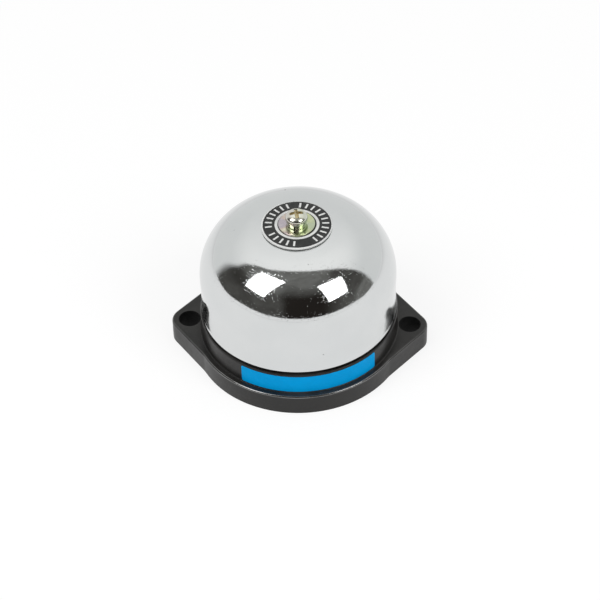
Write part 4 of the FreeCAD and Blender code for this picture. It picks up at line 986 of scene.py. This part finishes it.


# Return spring: round wire, with closed end coils.
returnSpring = {"meanRadius": 3.3, "wireRadius": 0.24, "turns": 5.5, "start": -17.0, "length": 4.6,
                "axisBehind": 12.5, "axisHeight": 24.0, "active": (0.14, 0.86), "endCoils": 6.2,
                "coilStep": 2.1, "keep": 0.587, "steps": 48, "sides": 14, "smoothAngle": 60.0}


def makeSpringTree(form):
    tree, given, made = newShapeTree("coilSpring", {
        "Float": ("Mean Radius", "Wire Radius", "Turns", "Length"), "Vector": ("Place",)})
    line = spiral(given["Turns"], given["Mean Radius"], 0.0, form["steps"])
    along = addNode("GeometryNodeSplineParameter", tree=tree)["Factor"]
    rise = fade(along, *form["active"], shape="LINEAR")
    free = minus(given["Length"], times(given["Wire Radius"], form["endCoils"]))
    closing = times(times(along, 2.0), times(given["Wire Radius"], form["coilStep"]))
    height = calc("ADD", calc("ADD", times(rise, free), closing), given["Wire Radius"])
    raised = addNode("GeometryNodeSetPosition", {"Geometry": line[0], "Offset": vector(z=height)})
    wire = wireAlong(raised, given["Wire Radius"], form["sides"])
    laid = addNode("GeometryNodeTransform", {
        "Geometry": wire[0], "Translation": given["Place"], "Rotation": (0.0, math.pi / 2, 0.0)})
    return closeShapeTree(tree, given, made, laid)


def makeSpring(form):
    start, behind, height = (form[name] * mm for name in ("start", "axisBehind", "axisHeight"))
    spring = grow("returnSpring", makeSpringTree(form), "springSteel", {
        "Mean Radius": form["meanRadius"] * mm, "Wire Radius": form["wireRadius"] * mm, "Turns": form["turns"],
        "Length": form["length"] * mm, "Place": (start, behind, height)})
    smoothFaces(spring.data, form["smoothAngle"])
    finish(spring, "springSteel", "spring_steel", "return_spring")
    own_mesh(spring)


makeSpring(returnSpring)
print("return spring wound")


# Studio: white table and backdrop, a dark room in front with two square soft lights.
# A range is an axis of the direction, where its fade starts and ends, and at times its two values.
studio = {
    "plainLevel": 0.40, "sheetGrey": (0.81, 0.82, 0.815), "sheetTop": (1.05, 1.05, 1.04),
    "topNear": (0.97, 0.97, 0.97), "topFar": (0.85, 0.855, 0.855), "roomDark": (0.020, 0.0175, 0.015),
    "roomLit": (0.205, 0.205, 0.195), "tableFar": 0.65, "tableNear": 0.75, "cameraGlow": 0.80,
    "floorSize": 3.0, "floorDrop": 0.0001, "floorDiffuse": 0.24, "floorLight": 0.8, "tableRange": (-0.02, 0.4),
    "shades": (((-0.84, -0.08, 0.53), 0.34, 0.62), ((0.50, 0.01, 0.87), 0.26, 0.66)),
    "horizon": ("Y", -0.1, -0.6, 0.018, 0.078), "horizonSoft": 0.018, "left": ("X", -0.35, -0.9),
    "lower": ("Z", 0.95, 0.3), "cornerStart": ("X", -0.3, -0.48), "cornerEnd": ("X", -0.78, -0.6),
    "edge": 0.105, "edgeLeft": 0.12, "edgeCorner": 0.072, "edgeSoft": 0.035, "edgeSoftLeft": 0.07,
    "sheetLit": ("Z", 0.5, 0.95), "tableDepth": ("Y", -0.1, 0.3), "ceiling": ("Z", 0.64, 0.97),
    "leftWall": ("X", -0.12, -0.32, 0.0, 0.33), "rightWall": ("X", 0.45, 0.9), "farRight": ("X", 0.88, 1.0),
    "postStart": ("X", 0.925, 0.945), "postEnd": ("X", 0.975, 0.955),
    "clutter": ((3.2, 5.0, 0.65, 0.6), (0.3, 0.7, 0.72, 1.3)), "ceilingShare": 0.82, "rightShare": 0.36,
    "farShare": 0.34, "postShare": 0.3}
softLights = {
    "leftSoftLight": {"place": (-0.455, -0.281, 0.724), "across": (0.768, -0.614, -0.182),
                      "upward": (0.541, 0.518, 0.662), "size": (0.397, 0.565), "level": 4.3},
    "rightSoftLight": {"place": (0.561, -0.362, 0.603), "across": (0.560, -0.611, -0.559),
                       "upward": (0.803, 0.566, 0.187), "size": (0.490, 0.410), "level": 4.3}}


def makeWorld(room):
    world = scene.world = bpy.data.worlds.new("studioWorld")
    world.use_nodes = True
    tree = world.node_tree
    direction = addNode("ShaderNodeTexCoord", tree=tree)["Generated"]
    parts = split(direction)

    def ramp(name):
        axis, *limits = room[name]
        return fade(parts[axis], *limits)

    # The table's front edge rises a little straight ahead; the sheet's side edge lies further back on the left.
    table = fade(minus(parts["Z"], ramp("horizon")), room["horizonSoft"], -room["horizonSoft"])
    leftward = times(ramp("left"), ramp("lower"))
    edge = timesPlus(leftward, room["edgeLeft"], room["edge"])
    edge = timesPlus(times(ramp("cornerStart"), ramp("cornerEnd")), room["edgeCorner"], edge)
    spread = timesPlus(leftward, room["edgeSoftLeft"], room["edgeSoft"])
    behind = fade(calc("DIVIDE", minus(parts["Y"], edge), spread), -1.0, 1.0)
    sheet = tint(ramp("sheetLit"), room["sheetGrey"], room["sheetTop"])
    pale = tint(table, sheet, tint(ramp("tableDepth"), room["topNear"], room["topFar"]))
    lit = timesPlus(ramp("ceiling"), room["ceilingShare"], ramp("leftWall"))
    lit = timesPlus(ramp("rightWall"), room["rightShare"], lit)
    lit = timesPlus(ramp("farRight"), room["farShare"], lit)
    for place, reach, depth in room["shades"]:  # dark things that stand in the room
        away = vectorCalc("DISTANCE", direction, place)["Value"]
        lit = times(lit, fade(away, 0.0, reach, 1.0 - depth, 1.0))
    lit = times(lit, cloudy(direction, *room["clutter"]))
    post = times(ramp("postStart"), ramp("postEnd"))
    lit = timesPlus(post, room["postShare"], lit, clamp=True)
    dark = tint(lit, room["roomDark"], room["roomLit"])
    mirrored = tint(calc("MAXIMUM", table, behind), dark, pale)
    path = addNode("ShaderNodeLightPath", tree=tree)
    colour = tint(path["Is Glossy Ray"], (room["plainLevel"],) * 3, mirrored)
    direct = calc("MAXIMUM", path["Is Camera Ray"], path["Is Transmission Ray"])
    backdrop = tree.nodes["Background"]
    plug(backdrop.inputs["Color"], tint(direct, colour, (1.0, 1.0, 1.0)))
    backdrop.inputs["Strength"].default_value = 1.0


def mixShaders(factor, first, second):
    return addNode("ShaderNodeMixShader", {0: factor, 1: first[0], 2: second[0]})


def makeTable(room):
    half, drop = room["floorSize"] / 2, -room["floorDrop"]
    mesh = bpy.data.meshes.new("studioTable")
    mesh.from_pydata([(-half, -half, drop), (half, -half, drop), (half, half, drop), (-half, half, drop)], [],
                     [(0, 1, 2, 3)])
    material = bpy.data.materials.new("tableWhite")
    material.use_nodes = True
    tree = material.node_tree
    tree.nodes.clear()
    path = addNode("ShaderNodeLightPath", tree=tree)
    seen = calc("MAXIMUM", calc("MAXIMUM", path["Is Camera Ray"], path["Is Glossy Ray"]),
                path["Is Transmission Ray"])
    cloth = addNode("ShaderNodeBsdfDiffuse", {"Color": (room["floorDiffuse"],) * 3}, tree)
    mirrored = fade(split(objectPlace(tree))["Y"], *room["tableRange"], room["tableNear"], room["tableFar"])
    level = between(path["Is Camera Ray"], mirrored, room["cameraGlow"])
    glow = addNode("ShaderNodeEmission", {"Color": (1, 1, 1), "Strength": level})
    shown = addNode("ShaderNodeAddShader", {0: cloth[0], 1: glow[0]})
    lighting = addNode("ShaderNodeBsdfDiffuse", {"Color": (room["floorLight"],) * 3}, tree)
    above = mixShaders(seen, lighting, shown)
    below = addNode("ShaderNodeNewGeometry", tree=tree)["Backfacing"]
    sided = mixShaders(below, above, addNode("ShaderNodeBsdfTransparent", tree=tree))
    addNode("ShaderNodeOutputMaterial", {"Surface": sided[0]})
    mesh.materials.append(material)
    newPiece("studioTable", mesh)


def makeSoftLight(name, settings):
    lamp = bpy.data.lights.new(name, "AREA")
    lamp.shape = "RECTANGLE"
    lamp.size, lamp.size_y = settings["size"]
    lamp.energy = settings["level"] * math.pi * lamp.size * lamp.size_y
    across = Vector(settings["across"]).normalized()
    back = across.cross(Vector(settings["upward"])).normalized()
    turn = Matrix((across, back.cross(across), back)).transposed().to_4x4()
    newPiece(name, lamp).matrix_world = Matrix.Translation(settings["place"]) @ turn


makeWorld(studio)
makeTable(studio)
for name, settings in softLights.items():
    makeSoftLight(name, settings)

cameraView = {"place": (0.03486, -0.44647, 0.4468), "target": (0.0, 0.0, 0.018), "roll": -1.644,
              "lens": 132.58, "sensor": 36.0, "shift": (0.00238, -0.01413), "near": 0.01}
camera = newPiece("studioCamera", bpy.data.cameras.new("studioCamera"))
aim = (Vector(cameraView["target"]) - Vector(cameraView["place"])).to_track_quat("-Z", "Y").to_matrix().to_4x4()
camera.matrix_world = (Matrix.Translation(cameraView["place"]) @ aim
                       @ Matrix.Rotation(math.radians(cameraView["roll"]), 4, "Z"))
camera.data.sensor_width, camera.data.lens = cameraView["sensor"], cameraView["lens"]
camera.data.shift_x, camera.data.shift_y = cameraView["shift"]
camera.data.clip_start = cameraView["near"]
scene.camera = camera
scene.view_settings.view_transform = "Standard"
print("studio lit")

bpy.context.view_layer.update()
